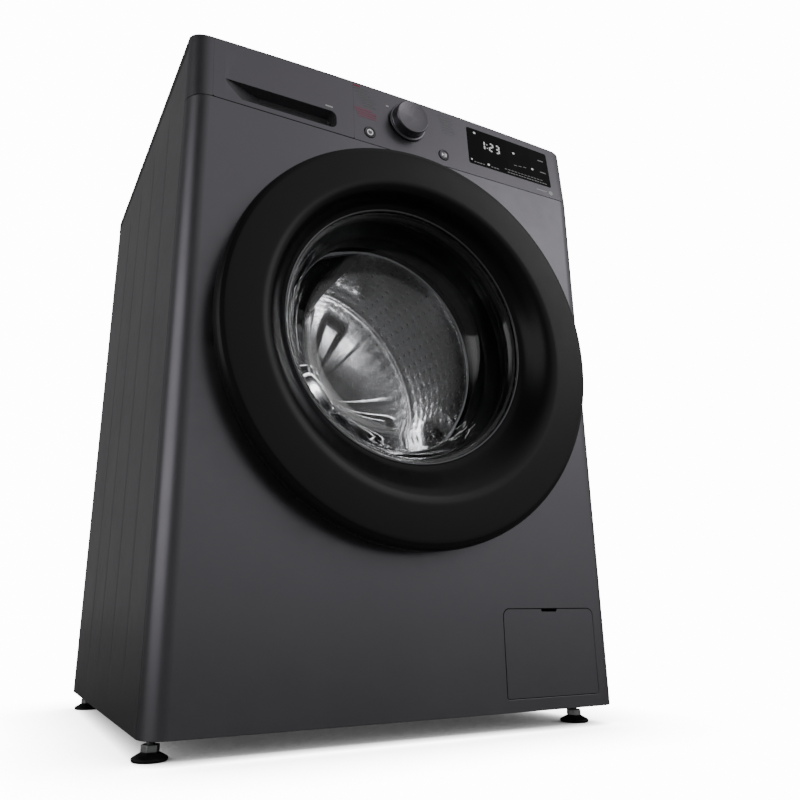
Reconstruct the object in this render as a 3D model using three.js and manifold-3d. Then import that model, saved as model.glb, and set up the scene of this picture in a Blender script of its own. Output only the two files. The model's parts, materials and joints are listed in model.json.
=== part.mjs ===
// Front load washing machine, 600 mm wide. Millimetres, +Z up.
// The origin is the middle of the floor area that the whole machine covers.
// Inside the builders y = 0 is the plane of the front panel and y grows towards the wall.
import * as THREE from 'three';
import { mergeVertices } from 'three/addons/utils/BufferGeometryUtils.js';
import Module from 'manifold-3d';

const wasm = await Module();
wasm.setup();

// Cabinet
const width = 600;
const height = 850;
const depth = 562;
const footHeight = 23.5;
const sheet = 1.2;
const cornerRadius = 26;
const seamGap = 0.6;
const fitGap = 0.3;
const flange = 20;
const ledgeWidth = 12;
const frontReturn = 12;
const fasciaHeight = 99;
const topThickness = 18;
const topOverhang = 16;
const topCorner = 14;
const topRim = 24;
const topSkin = 6;
const ribCount = 4;
const ribPitch = 99;
const ribFirst = 121;
const ribWidth = 16;
const ribDepth = 1.2;
const ribMargin = 42;
const panWall = 3;
const panHeight = 26;
const panClear = 0.8;
const railDrop = 12;
const railHeight = 3;
const railWidth = 28;
const rearCoverRim = 34;
const rearCoverBulge = 9;
const rearCoverSheet = 1.5;
const accessRadius = 9;

// Control fascia: it leans back towards its top edge, and the top edge bows forward
const fasciaWall = 2.6;
const fasciaLean = 11.5;
const fasciaBow = 5.5;

// Detergent drawer
const drawerInset = 28;
const drawerWidth = 194;
const drawerBottomRim = 0.6;
const drawerTopRim = 4;
const drawerGap = 0.4;
const drawerCorner = 3;
const gripSill = 7.3;
const gripDepth = 24;
const gripHeight = 26.5;
const gripTip = 26;
const gripRound = 9;
const trayInset = 7;
const trayRise = 9;
const trayHeight = 57;
const trayDepth = 262;
const trayWall = 2;
const washShare = 0.56;
const softenerShare = 0.55;
const siphonLength = 46;
const siphonRadius = 8;
const housingWall = 2.5;
const housingClear = 1.5;
const housingHead = 4;
const spoutRadius = 16;
const spoutLength = 16;
const spoutWall = 3;

// Programme knob, buttons and display
const knobX = 6;
const knobDrop = 45.5;
const knobBaseRadius = 29;
const knobRadius = 24.5;
const knobReach = 18;
const shaftRadius = 3;
const buttonRadius = 8.6;
const buttonGap = 0.35;
const buttonDepth = 7.4;
const buttonRim = 1.6;
const powerPlace = [-54.3, 80.9];
const startPlace = [65.1, 80.5];
const boardY = 27;
const boardThick = 2;
const encoderHalf = 9;
const displayBox = { inset: 36.8, wide: 153.2, drop: 14.5, tall: 64 };

// Door
const doorHeight = 468;
const drumHeight = 484;
const doorRadius = 262;
const rimStep = 8;
const doorReach = 38;
const ringDepth = 17;
const ringWall = 3;
const glassRadius = 173;
const glassDepth = 78;
const glassWall = 4;
const glassSeat = 6;
const openingClear = 13;
const hingeInset = 13;
const hingeY = -21;
const hingeHalf = 28;
const armThick = 8;
const armRound = 5.5;
const armTop = -2.9;
const pinRadius = 2.5;
const pinClearance = 0.35;
const hingeNotch = 37;
const hingePlateThick = 2.5;
const hingeLugThick = 4;
const scoopHalf = 45;
const hookHalf = 9;
const hookAxleRadius = 2;
const doorSides = 36;
const drumSides = 30;

// Tub and drum
const tubFrontY = 84;
const tubClear = 18;
const tubWall = 3.5;
const tubSplit = 170;
const flangeStep = 10;
const flangeThick = 4;
const mouthStep = 21;
const gasketWall = 2.5;
const drumRadius = 238;
const drumGapFront = 13;
const drumGapRear = 19;
const drumDepth = 318;
const drumSheet = 1.2;
const drumMouthStep = 8;
const lifterCount = 3;
const lifterHeight = 46;
const lifterHalf = 24;
const lifterTop = 8;
const axleRadius = 12;
const bearingOuter = 26;
const bearingDepth = 13;
const hubRadius = 38;
const hubDepth = 44;
const spiderHub = 37;
const spiderArm = 26;
const poleCount = 12;
const poleWidth = 12;
const statorInner = 62;
const statorOuter = 122;
const statorDepth = 24;
const rotorRadius = 138;
const rotorDepth = 46;
const rotorWall = 8;
const weightDepth = 38;
const heaterRadius = 3.5;
const heaterHalf = 20;

// Springs, dampers, pump and feet
const springInset = 26;
const springY = 372;
const springRadius = 9;
const lugThick = 8;
const lugHalf = 6;
const damperInset = 42;
const damperY = 340;
const damperTubeRadius = 15;
const damperTubeLength = 150;
const damperRodRadius = 6;
const damperLugDrop = 40;
const pistonDepth = 12;
const footInsets = { left: 19, right: 34 };
const footFrontY = 48;
const footRearY = 532;
const footPadRadius = 18;
const footNutRadius = 9;
const footStemRadius = 5;
const coverBox = { inset: 32, wide: 142.5, low: 39, tall: 103 };
const coverGap = 0.8;
const coverThick = 2.5;
const coverPivot = 1.3;
const latchWidth = 24;
const latchDrop = 12;
const pumpHeight = 92;
const pumpRadius = 33;
const pumpBore = 27;
const pumpFront = 22;
const pumpBody = 90;
const motorRadius = 26;
const motorLength = 56;
const sumpRadius = 13;
const dispenserHoseRadius = 15;

// Sockets in the back panel: place from the middle and from the top or the floor
const inletPlace = { x: -200, drop: 60, radius: 12, bore: 8 };
const glandPlace = { x: 200, drop: 60, radius: 8.5, bore: 4 };
const drainPlace = { x: -230, z: 120, radius: 13, bore: 10 };

// Values that follow from the ones above
const half = width / 2;
const seam = height - fasciaHeight;
const sideStart = cornerRadius + seamGap;
const topUnder = height - topThickness;
const drawerLeft = drawerInset - half;
const drawerRight = drawerLeft + drawerWidth;
const drawerLow = seam + drawerBottomRim;
const drawerHigh = height - drawerTopRim;
const displayRight = half - displayBox.inset;
const displayLeft = displayRight - displayBox.wide;
const knobHeight = height - knobDrop;
const rimRadius = doorRadius - rimStep;
const openingRadius = glassRadius + openingClear;
const hingeX = hingeInset - doorRadius;
const hookX = (openingRadius + rimRadius) / 2 - rimStep;
const tubRadius = drumRadius + tubClear;
const tubOuter = tubRadius + tubWall;
const tubFlange = tubRadius + flangeStep;
const tubMouth = openingRadius - mouthStep;
const drumMouth = tubMouth - drumMouthStep;
const drumFrontY = tubFrontY + drumGapFront;
const drumRear = drumFrontY + drumDepth;
const tubRear = drumRear + drumGapRear;
const panFloor = footHeight + sheet + fitGap + panWall;
const springX = half - springInset;
const springLug = tubRadius * 0.625;
const damperX = tubRadius - damperInset;
const damperLug = Math.sqrt(tubOuter ** 2 - damperX ** 2) - 5;
const footLeft = footInsets.left - half;
const footRight = half - footInsets.right;
const coverRight = half - coverBox.inset;
const coverLeft = coverRight - coverBox.wide;
const coverHigh = coverBox.low + coverBox.tall;
const coverMiddle = (coverLeft + coverRight) / 2;
const pumpX = coverMiddle;
const spoutX = pumpX - 8;
const spoutY = 84;
const valveHeight = topUnder - inletPlace.drop;
const glandHeight = topUnder - glandPlace.drop;
const rearReach = depth + topOverhang - 2;
const frontY = (doorReach - depth - topOverhang) / 2;

// Cutting tools pass the face that they cut by this much
const past = 5;
// Joined bodies sink this far into each other
const sink = 0.1;

// ---------------------------------------------------------------- solids

function signedVolume(position, triangles) {
  let sum = 0;
  const [a, b, c] = [new THREE.Vector3(), new THREE.Vector3(), new THREE.Vector3()];
  for (const [i, j, k] of triangles) {
    a.fromBufferAttribute(position, i);
    b.fromBufferAttribute(position, j);
    c.fromBufferAttribute(position, k);
    sum += a.dot(b.cross(c));
  }
  return sum;
}

// Turns a closed three.js geometry into a solid whose faces point out.
function solid(geometry) {
  const bare = geometry.clone();
  bare.deleteAttribute('normal');
  bare.deleteAttribute('uv');
  const merged = mergeVertices(bare, 1e-3);
  const index = merged.index.array;
  const triangles = [];
  for (let n = 0; n < index.length; n += 3) {
    const [i, j, k] = [index[n], index[n + 1], index[n + 2]];
    if (i !== j && j !== k && k !== i) triangles.push([i, j, k]);
  }
  const inward = signedVolume(merged.attributes.position, triangles) < 0;
  const ordered = inward ? triangles.map(([i, j, k]) => [i, k, j]) : triangles;
  return new wasm.Manifold(new wasm.Mesh({
    numProp: 3,
    vertProperties: new Float32Array(merged.attributes.position.array),
    triVerts: new Uint32Array(ordered.flat()),
  }));
}

function join(...pieces) {
  return pieces.reduce((whole, piece) => whole.add(piece));
}

function cut(piece, ...tools) {
  return tools.reduce((left, tool) => left.subtract(tool), piece);
}

function box([x0, x1], [y0, y1], [z0, z1]) {
  const block = new THREE.BoxGeometry(x1 - x0, y1 - y0, z1 - z0);
  return solid(block.translate((x0 + x1) / 2, (y0 + y1) / 2, (z0 + z1) / 2));
}

// A closed outline in plan, raised from z0 to z1.
function uprightPrism(points, z0, z1) {
  const outline = new THREE.Shape(points.map(([x, y]) => new THREE.Vector2(x, y)));
  const raised = new THREE.ExtrudeGeometry(outline, { depth: z1 - z0, bevelEnabled: false });
  return solid(raised.translate(0, 0, z0));
}

// A closed outline seen from the front (x, z), pushed from y0 back to y1.
function facePrism(outline, y0, y1) {
  const raised = new THREE.ExtrudeGeometry(outline, {
    depth: y1 - y0, bevelEnabled: false, curveSegments: 5,
  });
  return solid(raised.rotateX(Math.PI / 2).translate(0, y1, 0));
}

function roundedOutline(x0, x1, z0, z1, radius) {
  const shape = new THREE.Shape();
  shape.moveTo(x0 + radius, z0);
  shape.lineTo(x1 - radius, z0);
  shape.absarc(x1 - radius, z0 + radius, radius, -Math.PI / 2, 0);
  shape.absarc(x1 - radius, z1 - radius, radius, 0, Math.PI / 2);
  shape.absarc(x0 + radius, z1 - radius, radius, Math.PI / 2, Math.PI);
  shape.absarc(x0 + radius, z0 + radius, radius, Math.PI, Math.PI * 1.5);
  return shape;
}

// Round bar along y, x or z.
function barY(x, z, radius, y0, y1, sides = 24) {
  const bar = new THREE.CylinderGeometry(radius, radius, y1 - y0, sides);
  return solid(bar.translate(x, (y0 + y1) / 2, z));
}

function barX(y, z, radius, x0, x1, sides = 16) {
  const bar = new THREE.CylinderGeometry(radius, radius, x1 - x0, sides);
  return solid(bar.rotateZ(Math.PI / 2).translate((x0 + x1) / 2, y, z));
}

function barZ(x, y, radius, z0, z1, sides = 16) {
  const bar = new THREE.CylinderGeometry(radius, radius, z1 - z0, sides);
  return solid(bar.rotateX(Math.PI / 2).translate(x, y, (z0 + z1) / 2));
}

// Turned piece about a level axis: the profile is a list of [radius, y, axis height].
// The axis height may change along the profile, which makes an eccentric funnel.
function turnedY(profile, sides, x = 0) {
  const loop = [...profile, profile[0]];
  const lathe = new THREE.LatheGeometry(loop.map(([r, y]) => new THREE.Vector2(r, y)), sides);
  const place = lathe.attributes.position;
  for (let n = 0; n < place.count; n += 1) {
    place.setX(n, place.getX(n) + x);
    place.setZ(n, place.getZ(n) + loop[n % loop.length][2]);
  }
  return solid(lathe);
}

function turnedZ(profile, sides, x, y) {
  const loop = [...profile, profile[0]];
  const lathe = new THREE.LatheGeometry(loop.map(([r, z]) => new THREE.Vector2(r, z)), sides);
  return solid(lathe.rotateX(Math.PI / 2).scale(1, -1, 1).translate(x, y, 0));
}

function ringY(inner, outer, y0, y1, sides, z = drumHeight) {
  return turnedY([[inner, y0, z], [outer, y0, z], [outer, y1, z], [inner, y1, z]], sides);
}

// ---------------------------------------------------------------- node list

const machine = new THREE.Group();
machine.position.y = frontY;

function paint(color, roughness, metalness) {
  return new THREE.MeshStandardMaterial({ color, roughness, metalness });
}

const graphite = paint(0x49484c, 0.45, 0.35);
const fasciaPaint = paint(0x4b494e, 0.42, 0.3);
const satinBlack = paint(0x1c1b1e, 0.38, 0.05);
const darkPlastic = paint(0x26262a, 0.55, 0);
const greyPlastic = paint(0x8b8d90, 0.55, 0);
const glossBlack = paint(0x08080a, 0.08, 0);
const clearGlass = paint(0x9fb0b4, 0.05, 0);
const softRubber = paint(0x3d3f42, 0.75, 0);
const stainless = paint(0xb4b6b8, 0.28, 0.95);
const castAlloy = paint(0xa2a4a6, 0.5, 0.8);
const zincSteel = paint(0xb0b1b0, 0.4, 0.85);
const greyIron = paint(0x6f6c69, 0.8, 0.2);
const boardGreen = paint(0x2d5b3a, 0.6, 0);
const paleBlue = paint(0x5f9fc8, 0.45, 0);
const copper = paint(0xb26b3e, 0.4, 0.8);

function add(name, material, body) {
  const mesh = body.getMesh();
  const geometry = new THREE.BufferGeometry();
  geometry.setAttribute('position', new THREE.BufferAttribute(mesh.vertProperties, 3));
  geometry.setIndex(new THREE.BufferAttribute(mesh.triVerts, 1));
  geometry.computeVertexNormals();
  const piece = new THREE.Mesh(geometry, material);
  piece.name = name;
  machine.add(piece);
}

// ---------------------------------------------------------------- cabinet

// Plan of the front skin: flat in the middle, a quarter round at each side.
function frontPlan(inset) {
  const points = [];
  const steps = 6;
  const radius = cornerRadius - inset;
  const side = half - cornerRadius;
  for (let n = 0; n <= steps; n += 1) {
    const angle = Math.PI + (n / steps) * (Math.PI / 2);
    points.push([-side + radius * Math.cos(angle), cornerRadius + radius * Math.sin(angle)]);
  }
  for (let n = 0; n <= steps; n += 1) {
    const angle = Math.PI * 1.5 + (n / steps) * (Math.PI / 2);
    points.push([side + radius * Math.cos(angle), cornerRadius + radius * Math.sin(angle)]);
  }
  return points;
}

function frontPanel() {
  const returnEdge = half - sheet - frontReturn;
  const inner = frontPlan(sheet).reverse();
  const lip = cornerRadius - sheet;
  inner[0] = [inner[0][0], lip];
  inner[inner.length - 1] = [inner[inner.length - 1][0], lip];
  const plan = [
    ...frontPlan(0), [returnEdge, cornerRadius], [returnEdge, lip],
    ...inner, [-returnEdge, lip], [-returnEdge, cornerRadius],
  ];
  const hatch = roundedOutline(
    coverLeft - coverGap, coverRight + coverGap, coverBox.low - coverGap, coverHigh + coverGap, 3,
  );
  const hookRoom = hookHalf + 5;
  return cut(
    uprightPrism(plan, footHeight, seam - seamGap / 2),
    barY(0, drumHeight, openingRadius, -past, past, doorSides),
    facePrism(hatch, -past, past),
    box([hookX - 10, hookX + 12], [-past, past], [drumHeight - hookRoom, drumHeight + hookRoom]),
  );
}

function sidePanel() {
  const rear = depth - sheet - seamGap;
  const outer = half;
  const inner = half - sheet;
  const plan = [
    [outer, sideStart], [outer, rear], [outer - flange, rear], [outer - flange, rear - sheet],
    [inner, rear - sheet], [inner, sideStart + sheet], [outer - frontReturn, sideStart + sheet],
    [outer - frontReturn, sideStart],
  ];
  const skin = uprightPrism(plan, footHeight, topUnder - fitGap);
  const railLow = topUnder - railDrop;
  const rail = box(
    [outer - flange * 2, inner + sink], [springY - railWidth / 2, springY + railWidth / 2],
    [railLow, railLow + railHeight],
  );
  const along = [sideStart + sheet, rear - sheet];
  const ledge = box([outer - ledgeWidth, inner + sink], along, [footHeight, footHeight + sheet]);
  const brace = topUnder - sheet * 2.5;
  const stiff = box([outer - flange, inner + sink], along, [brace, brace + sheet]);
  let panel = join(skin, rail, ledge, stiff);
  for (let n = 0; n < ribCount; n += 1) {
    const y = ribFirst + n * ribPitch;
    panel = panel.add(pressing(inner - ribDepth, y, sheet)).subtract(pressing(outer - ribDepth, y, 0));
  }
  return panel;
}

// The trapezoid of one pressed rib with sloping ends: its deep face is at the given x.
function pressing(x, y, grow) {
  const across = ribWidth / 2 + grow;
  const low = footHeight + ribMargin - grow;
  const high = topUnder - ribMargin + grow;
  const slope = ribDepth * 3;
  const reach = grow > 0 ? ribDepth : ribDepth + 1;
  const open = slope * (1 - reach / ribDepth);
  const outline = outlineShape([
    [x, low + slope], [x + reach, low + open], [x + reach, high - open], [x, high - slope],
  ]);
  return facePrism(outline, y - across, y + across);
}

function mirrored(piece) {
  return piece.mirror([1, 0, 0]);
}

function backPanel() {
  const edge = half - seamGap;
  const y = depth - sheet;
  const plate = box([-edge, edge], [y, depth], [footHeight, topUnder - fitGap]);
  const hole = (x, z, radius, sides = 16) => barY(x, z, radius, y - past, depth + past, sides);
  const service = hole(0, drumHeight, rotorRadius + rearCoverRim - 12, 32);
  const valveHole = hole(inletPlace.x, valveHeight, inletPlace.radius + 3);
  const cordHole = hole(glandPlace.x, glandHeight, glandPlace.radius + 0.5);
  const drainHole = hole(drainPlace.x, drainPlace.z, drainPlace.radius + 2);
  let panel = cut(plate, service, valveHole, cordHole, drainHole);
  for (const [side, rise] of [[-1, -1], [1, -1], [-1, 1], [1, 1]]) {
    panel = panel.subtract(hole(side * half / 2, drumHeight + rise * (rotorRadius + 18), accessRadius, 12));
  }
  return panel;
}

function rearCover() {
  const rim = rotorRadius + rearCoverRim;
  const y = depth + fitGap;
  const z = drumHeight;
  const t = rearCoverSheet;
  const out = y + rearCoverBulge;
  return turnedY([
    [0, out, z], [rim - 26, out, z], [rim - 14, y, z], [rim, y, z], [rim, y + t, z],
    [rim - 13, y + t, z], [rim - 25, out + t, z], [0, out + t, z],
  ], 32);
}

function topPlate() {
  const y0 = sideStart;
  const y1 = depth + topOverhang;
  const outline = (inset) => {
    const radius = Math.max(topCorner - inset, 1);
    const edge = half - inset - radius;
    const points = [[half - inset, y0 + inset]];
    for (const [side, start] of [[1, 0], [-1, Math.PI / 2]]) {
      for (let n = 0; n <= 4; n += 1) {
        const angle = start + (n / 4) * (Math.PI / 2);
        const y = y1 - inset - radius + radius * Math.sin(angle);
        points.push([side * edge + radius * Math.cos(angle), y]);
      }
    }
    return [...points, [-half + inset, y0 + inset]];
  };
  const board = uprightPrism(outline(0), topUnder, height);
  return board.subtract(uprightPrism(outline(topRim), topUnder - 1, height - topSkin));
}

function basePan() {
  const x = half - sheet - panClear;
  const y0 = sideStart + sheet + panClear;
  const y1 = depth - sheet * 2 - seamGap - panClear;
  const z0 = panFloor - panWall;
  const w = panWall;
  const pan = box([-x, x], [y0, y1], [z0, z0 + panHeight]);
  const hollow = box([-x + w, x - w], [y0 + w, y1 - w], [panFloor, z0 + panHeight + past]);
  const holes = [];
  for (const across of [footLeft, footRight]) {
    for (const y of [footFrontY, footRearY]) {
      holes.push(barZ(across, y, footStemRadius + panClear, z0 - past, panFloor + past, 12));
    }
  }
  return cut(pan, hollow, ...holes);
}

function foot(x, y) {
  const nut = footNutRadius;
  const stem = footStemRadius;
  const pad = [
    [0, 0], [footPadRadius, 0], [footPadRadius + 0.5, 3], [footPadRadius - 2, 7], [nut, 8.5],
    [nut, 16], [stem, 16.5], [stem, 58], [0, 58],
  ];
  return turnedZ(pad, 14, x, y);
}

// ---------------------------------------------------------------- control fascia

// Solid block behind the leaning, bowed front face, shrunk by the inset.
function fasciaBlock(inset, top, back) {
  const side = half - cornerRadius;
  const ring = (z) => {
    const lean = (z - seam) / fasciaHeight;
    const setback = (x) => lean * (fasciaLean - fasciaBow * (1 - (x / side) ** 2));
    const points = [[-half + inset, back]];
    for (let n = 0; n <= 5; n += 1) {
      const angle = Math.PI + (n / 5) * (Math.PI / 2);
      const y = cornerRadius + (cornerRadius - inset - setback(side)) * Math.sin(angle);
      points.push([-side + (cornerRadius - inset) * Math.cos(angle), y]);
    }
    for (let n = 1; n < 12; n += 1) {
      const x = -side + (n / 12) * side * 2;
      points.push([x, inset + setback(x)]);
    }
    for (let n = 0; n <= 5; n += 1) {
      const angle = Math.PI * 1.5 + (n / 5) * (Math.PI / 2);
      const y = cornerRadius + (cornerRadius - inset - setback(side)) * Math.sin(angle);
      points.push([side + (cornerRadius - inset) * Math.cos(angle), y]);
    }
    points.push([half - inset, back]);
    return points.map(([x, y]) => new THREE.Vector3(x, y, z));
  };
  const bottom = inset > 0 ? seam - 1 : seam + seamGap / 2;
  return ruledBlock(ring(bottom), ring(top));
}

// Closed body between two matching outlines, with flat ends.
function ruledBlock(lower, upper) {
  const count = lower.length;
  const points = [...lower, ...upper];
  const index = [];
  for (let n = 0; n < count; n += 1) {
    const next = (n + 1) % count;
    index.push(n, next, count + next, n, count + next, count + n);
  }
  const flat = lower.map((point) => new THREE.Vector2(point.x, point.y));
  for (const [a, b, c] of THREE.ShapeUtils.triangulateShape(flat, [])) {
    index.push(a, c, b, count + a, count + b, count + c);
  }
  const geometry = new THREE.BufferGeometry().setFromPoints(points);
  geometry.setIndex(index);
  return solid(geometry);
}

const fasciaSkin = fasciaBlock(0, height, cornerRadius)
  .subtract(fasciaBlock(fasciaWall, height - fasciaWall, cornerRadius + 1));

function outlineShape(points) {
  return new THREE.Shape(points.map(([x, z]) => new THREE.Vector2(x, z)));
}

function displayOutline(grow) {
  const top = height - displayBox.drop;
  const low = top - displayBox.tall;
  return roundedOutline(displayLeft - grow, displayRight + grow, low - grow, top + grow, 3);
}

function controlFascia() {
  const behind = cornerRadius - past;
  const holes = [powerPlace, startPlace].map(([x, drop]) => (
    barY(x, height - drop, buttonRadius + buttonGap, -past, behind, 20)
  ));
  return cut(
    fasciaSkin,
    facePrism(drawerOutline(drawerGap, past), -past, cornerRadius + past),
    facePrism(displayOutline(fitGap), -past, behind),
    barY(knobX, knobHeight, shaftRadius * 2, -past, behind, 16),
    ...holes,
  );
}

function drawerOutline(grow, below = 0) {
  return roundedOutline(
    drawerLeft - grow, drawerRight + grow, drawerLow - grow - below, drawerHigh + grow, drawerCorner,
  );
}

// Grip recess: a pointed left end, a rounded right end.
function gripOutline(grow) {
  const left = drawerLeft + 11;
  const right = drawerRight - 26;
  const low = drawerLow + gripSill;
  const high = low + gripHeight;
  const round = gripRound;
  const shape = new THREE.Shape();
  shape.moveTo(left - grow * 1.6, high + grow);
  shape.lineTo(left + gripTip - grow, low - grow);
  shape.lineTo(right - round, low - grow);
  shape.absarc(right - round, low + round, round + grow, -Math.PI / 2, 0);
  shape.absarc(right - round, high - round, round + grow, 0, Math.PI / 2);
  return shape;
}

function drawerFront() {
  const face = facePrism(drawerOutline(0), -past, cornerRadius + past);
  const skin = fasciaBlock(0, height, cornerRadius)
    .subtract(fasciaBlock(fasciaWall, height + 1, cornerRadius + 1)).intersect(face);
  const cup = cut(
    facePrism(gripOutline(trayWall), fasciaWall - 1, gripDepth),
    facePrism(gripOutline(0), -1, gripDepth - trayWall),
  );
  return cut(skin, facePrism(gripOutline(0), -past, past * 2)).add(cup.intersect(face));
}

function displayWindow() {
  return fasciaSkin.intersect(facePrism(displayOutline(0), -past, cornerRadius - past));
}

const trayX = [drawerLeft + trayInset, drawerRight - trayInset];
const trayY = [gripDepth + fitGap, gripDepth + fitGap + trayDepth];
const trayZ = [seam + trayRise, seam + trayRise + trayHeight];
const trayWash = trayX[0] + (trayX[1] - trayX[0]) * washShare;
const hoseX = (trayX[0] + trayX[1]) / 2;
const hoseY = trayY[1] + 6;

function detergentDrawer() {
  const w = trayWall;
  const inside = [trayZ[0] + w, trayZ[1] + past];
  const y = trayY[0] + 10;
  const split = trayY[0] + trayDepth * softenerShare;
  const narrow = [trayWash + w, trayX[1] - w];
  return cut(
    box(trayX, trayY, trayZ),
    box([trayX[0] + w, trayWash], [y, trayY[1] - w], inside),
    box(narrow, [y, split], inside),
    box(narrow, [split + w, trayY[1] - w], inside),
  );
}

function siphonCap() {
  const left = trayWash + trayWall + 1;
  const right = trayX[1] - trayWall - 1;
  const y = trayY[0] + 12;
  const lid = box([left, right], [y, y + siphonLength], [trayZ[1] - 8, trayZ[1] - 5]);
  const middle = [(left + right) / 2, y + siphonLength / 2];
  return lid.add(barZ(...middle, siphonRadius, trayZ[0] + trayWall + 4, trayZ[1] - 6, 16));
}

function dispenserHousing() {
  const clear = housingClear;
  const gap = clear + housingWall;
  const back = trayY[1] + 24;
  const head = trayZ[1] + housingHead;
  const floor = trayZ[0] - gap;
  const outer = box([trayX[0] - gap, trayX[1] + gap], [gripDepth + 8, back], [floor, head + gap]);
  const hole = box(
    [trayX[0] - clear, trayX[1] + clear], [0, back - housingWall], [trayZ[0] - clear, head + clear],
  );
  const spout = barZ(hoseX, hoseY, spoutRadius, floor - spoutLength, floor + 1, 16);
  const bore = barZ(hoseX, hoseY, spoutRadius - spoutWall, floor - spoutLength - past, trayZ[0], 16);
  return cut(outer.add(spout), hole, bore);
}

function programKnob() {
  const z = knobHeight;
  const y = 2.4;
  const tip = y - knobReach;
  return turnedY([
    [0, tip, z], [knobRadius - 2, tip, z], [knobRadius, tip + 2, z], [knobRadius + 1, y - 7, z],
    [knobBaseRadius, y - 6, z], [knobBaseRadius, y - 2.6, z], [shaftRadius, y - 2.6, z],
    [shaftRadius, y + 20, z], [0, y + 20, z],
  ], 32, knobX);
}

function pushButton([x, drop]) {
  const z = height - drop;
  const front = -0.4;
  const back = front + buttonDepth;
  const cap = barY(x, z, buttonRadius, front, back, 20);
  return cap.add(barY(x, z, buttonRadius + buttonRim, back - 1.2, back, 20));
}

function controlBoard() {
  const z = knobHeight;
  const e = encoderHalf;
  const left = powerPlace[0] - 12;
  const board = box([left, displayRight + 1], [boardY, boardY + boardThick], [seam + 6, topUnder - 6]);
  const encoder = box([knobX - e, knobX + e], [boardY - 13, boardY + sink], [z - e, z + e]);
  return cut(board.add(encoder), barY(knobX, z, shaftRadius + fitGap, 0, boardY + past, 16));
}

// ---------------------------------------------------------------- door

// Outer ring: flat rim, rounded shoulder and a funnel that ends at the glass.
function doorRing() {
  const c = doorHeight;
  const g = drumHeight;
  const front = -doorReach;
  const back = front + ringDepth;
  const w = ringWall;
  // A point at a share of the way from the glass to the rim; its axis rises to the drum's.
  const point = (share, y, rise) => [
    glassRadius + share * (rimRadius - glassRadius), y, c + rise * (g - c),
  ];
  const neck = (step, y, rise) => [glassRadius + step, y, c + rise * (g - c)];
  const profile = [
    [doorRadius, back, c], [doorRadius - 0.5, front + 9, c], [doorRadius - 3.5, front + 3, c],
    [rimRadius, front, c], point(0.506, front, 0.12), point(0.37, front + 2.4, 0.25),
    point(0.247, front + 10, 0.5), neck(11, front + 22, 0.81),
    [glassRadius, -4.2, g], [glassRadius + 2.6, -1.9, g], neck(11.5, front + 24, 0.88),
    point(0.284, front + 12.5, 0.5), point(0.407, front + 5.4, 0.25),
    point(0.53, front + w, 0.12), [rimRadius - 1, front + w, c],
    [doorRadius - w - 0.4, front + 10, c], [doorRadius - w, back, c],
  ];
  return turnedY(profile, doorSides);
}

// Rear frame of the door: side wall, back plate and the collar that holds the glass.
function doorFrame() {
  const c = doorHeight;
  const g = drumHeight;
  const w = ringWall;
  const front = ringDepth - doorReach + 0.4;
  const collar = glassRadius + 10.5;
  const back = -4;
  const seat = glassSeat;
  const shell = turnedY([
    [doorRadius - 0.5, front, c], [rimRadius, back, c], [collar, back, g], [collar, seat + w, g],
    [glassRadius - 2, seat + w, g], [glassRadius - 2, seat, g], [collar - w, seat, g],
    [collar - w, back - w + 0.4, g], [rimRadius - 2.6, back - w, c], [doorRadius - w - 0.7, front, c],
  ], doorSides);
  const notch = box([hingeX - 30, hingeX + 49], [-40, 10], [c - hingeNotch, c + hingeNotch]);
  const slot = box([hookX - 9, hookX + 9], [-15, 10], [g - hookHalf - 3, g + hookHalf + 3]);
  const scoop = box([doorRadius - 26, doorRadius + 10], [-30, -7.2], [c - scoopHalf, c + scoopHalf]);
  const lugs = [-1, 1].map((side) => {
    const middle = g + side * (hookHalf + 6);
    return box([hookX - 5, hookX + 5], [-18, -5], [middle - 1.5, middle + 1.5]);
  });
  return join(cut(shell, notch, slot, scoop), ...lugs);
}

function doorGlass() {
  const g = drumHeight;
  const r = glassRadius;
  const end = glassDepth;
  return turnedY([
    [0, end, g], [r - 75, end - 1, g], [r - 51, end - 7, g], [r - 32, end - 22, g], [r - 15, 24, g],
    [r - 7, 4.2, g], [r + 6, 4.2, g], [r + 6, -0.9, g], [r - 5, -0.9, g], [r - 9, 2, g],
    [r - 19, 24, g], [r - 35.5, end - 24, g], [r - 54, end - 10.5, g], [r - 76, end - 5, g],
    [0, end - glassWall, g],
  ], 28);
}

function hingeArm(z0) {
  const [x, y] = [hingeX, hingeY];
  const foot = armTop + 0.5;
  const arm = uprightPrism([
    [x + 2, y - 3.5], [x + 36, armTop - 3], [x + 37, foot], [x + 24.5, foot], [x + 0.6, y + 2.6],
  ], z0, z0 + armThick);
  return arm.add(barZ(x, y, armRound, z0, z0 + armThick, 16));
}

function hingeBracket() {
  const z = doorHeight;
  const reach = hingeHalf + 5;
  const plate = box([hingeX + 19, hingeX + 43], [armTop, -fitGap], [z - reach, z + reach]);
  const body = join(plate, hingeArm(z - hingeHalf), hingeArm(z + hingeHalf - armThick));
  return body.subtract(barZ(hingeX, hingeY, pinRadius + pinClearance, z - reach, z + reach, 16));
}

function doorHingePlate() {
  const z = doorHeight;
  const [x, y] = [hingeX, hingeY];
  const span = hingeHalf + 12;
  const face = y - 12;
  const back = face + hingePlateThick;
  const plate = box([x + 3, x + 40], [face, back], [z - span, z + span]);
  const outline = [
    [x - 5, y - 5], [x + 3, face], [x + 12, face], [x + 12, back], [x + 5, y + 5], [x - 5, y + 5],
  ];
  const lug = (z0) => uprightPrism(outline, z0, z0 + hingeLugThick);
  const body = join(plate, lug(z - hingeHalf - 3 - hingeLugThick), lug(z + hingeHalf + 3));
  return body.subtract(barZ(x, y, pinRadius + fitGap, z - span, z + span, 16));
}

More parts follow.
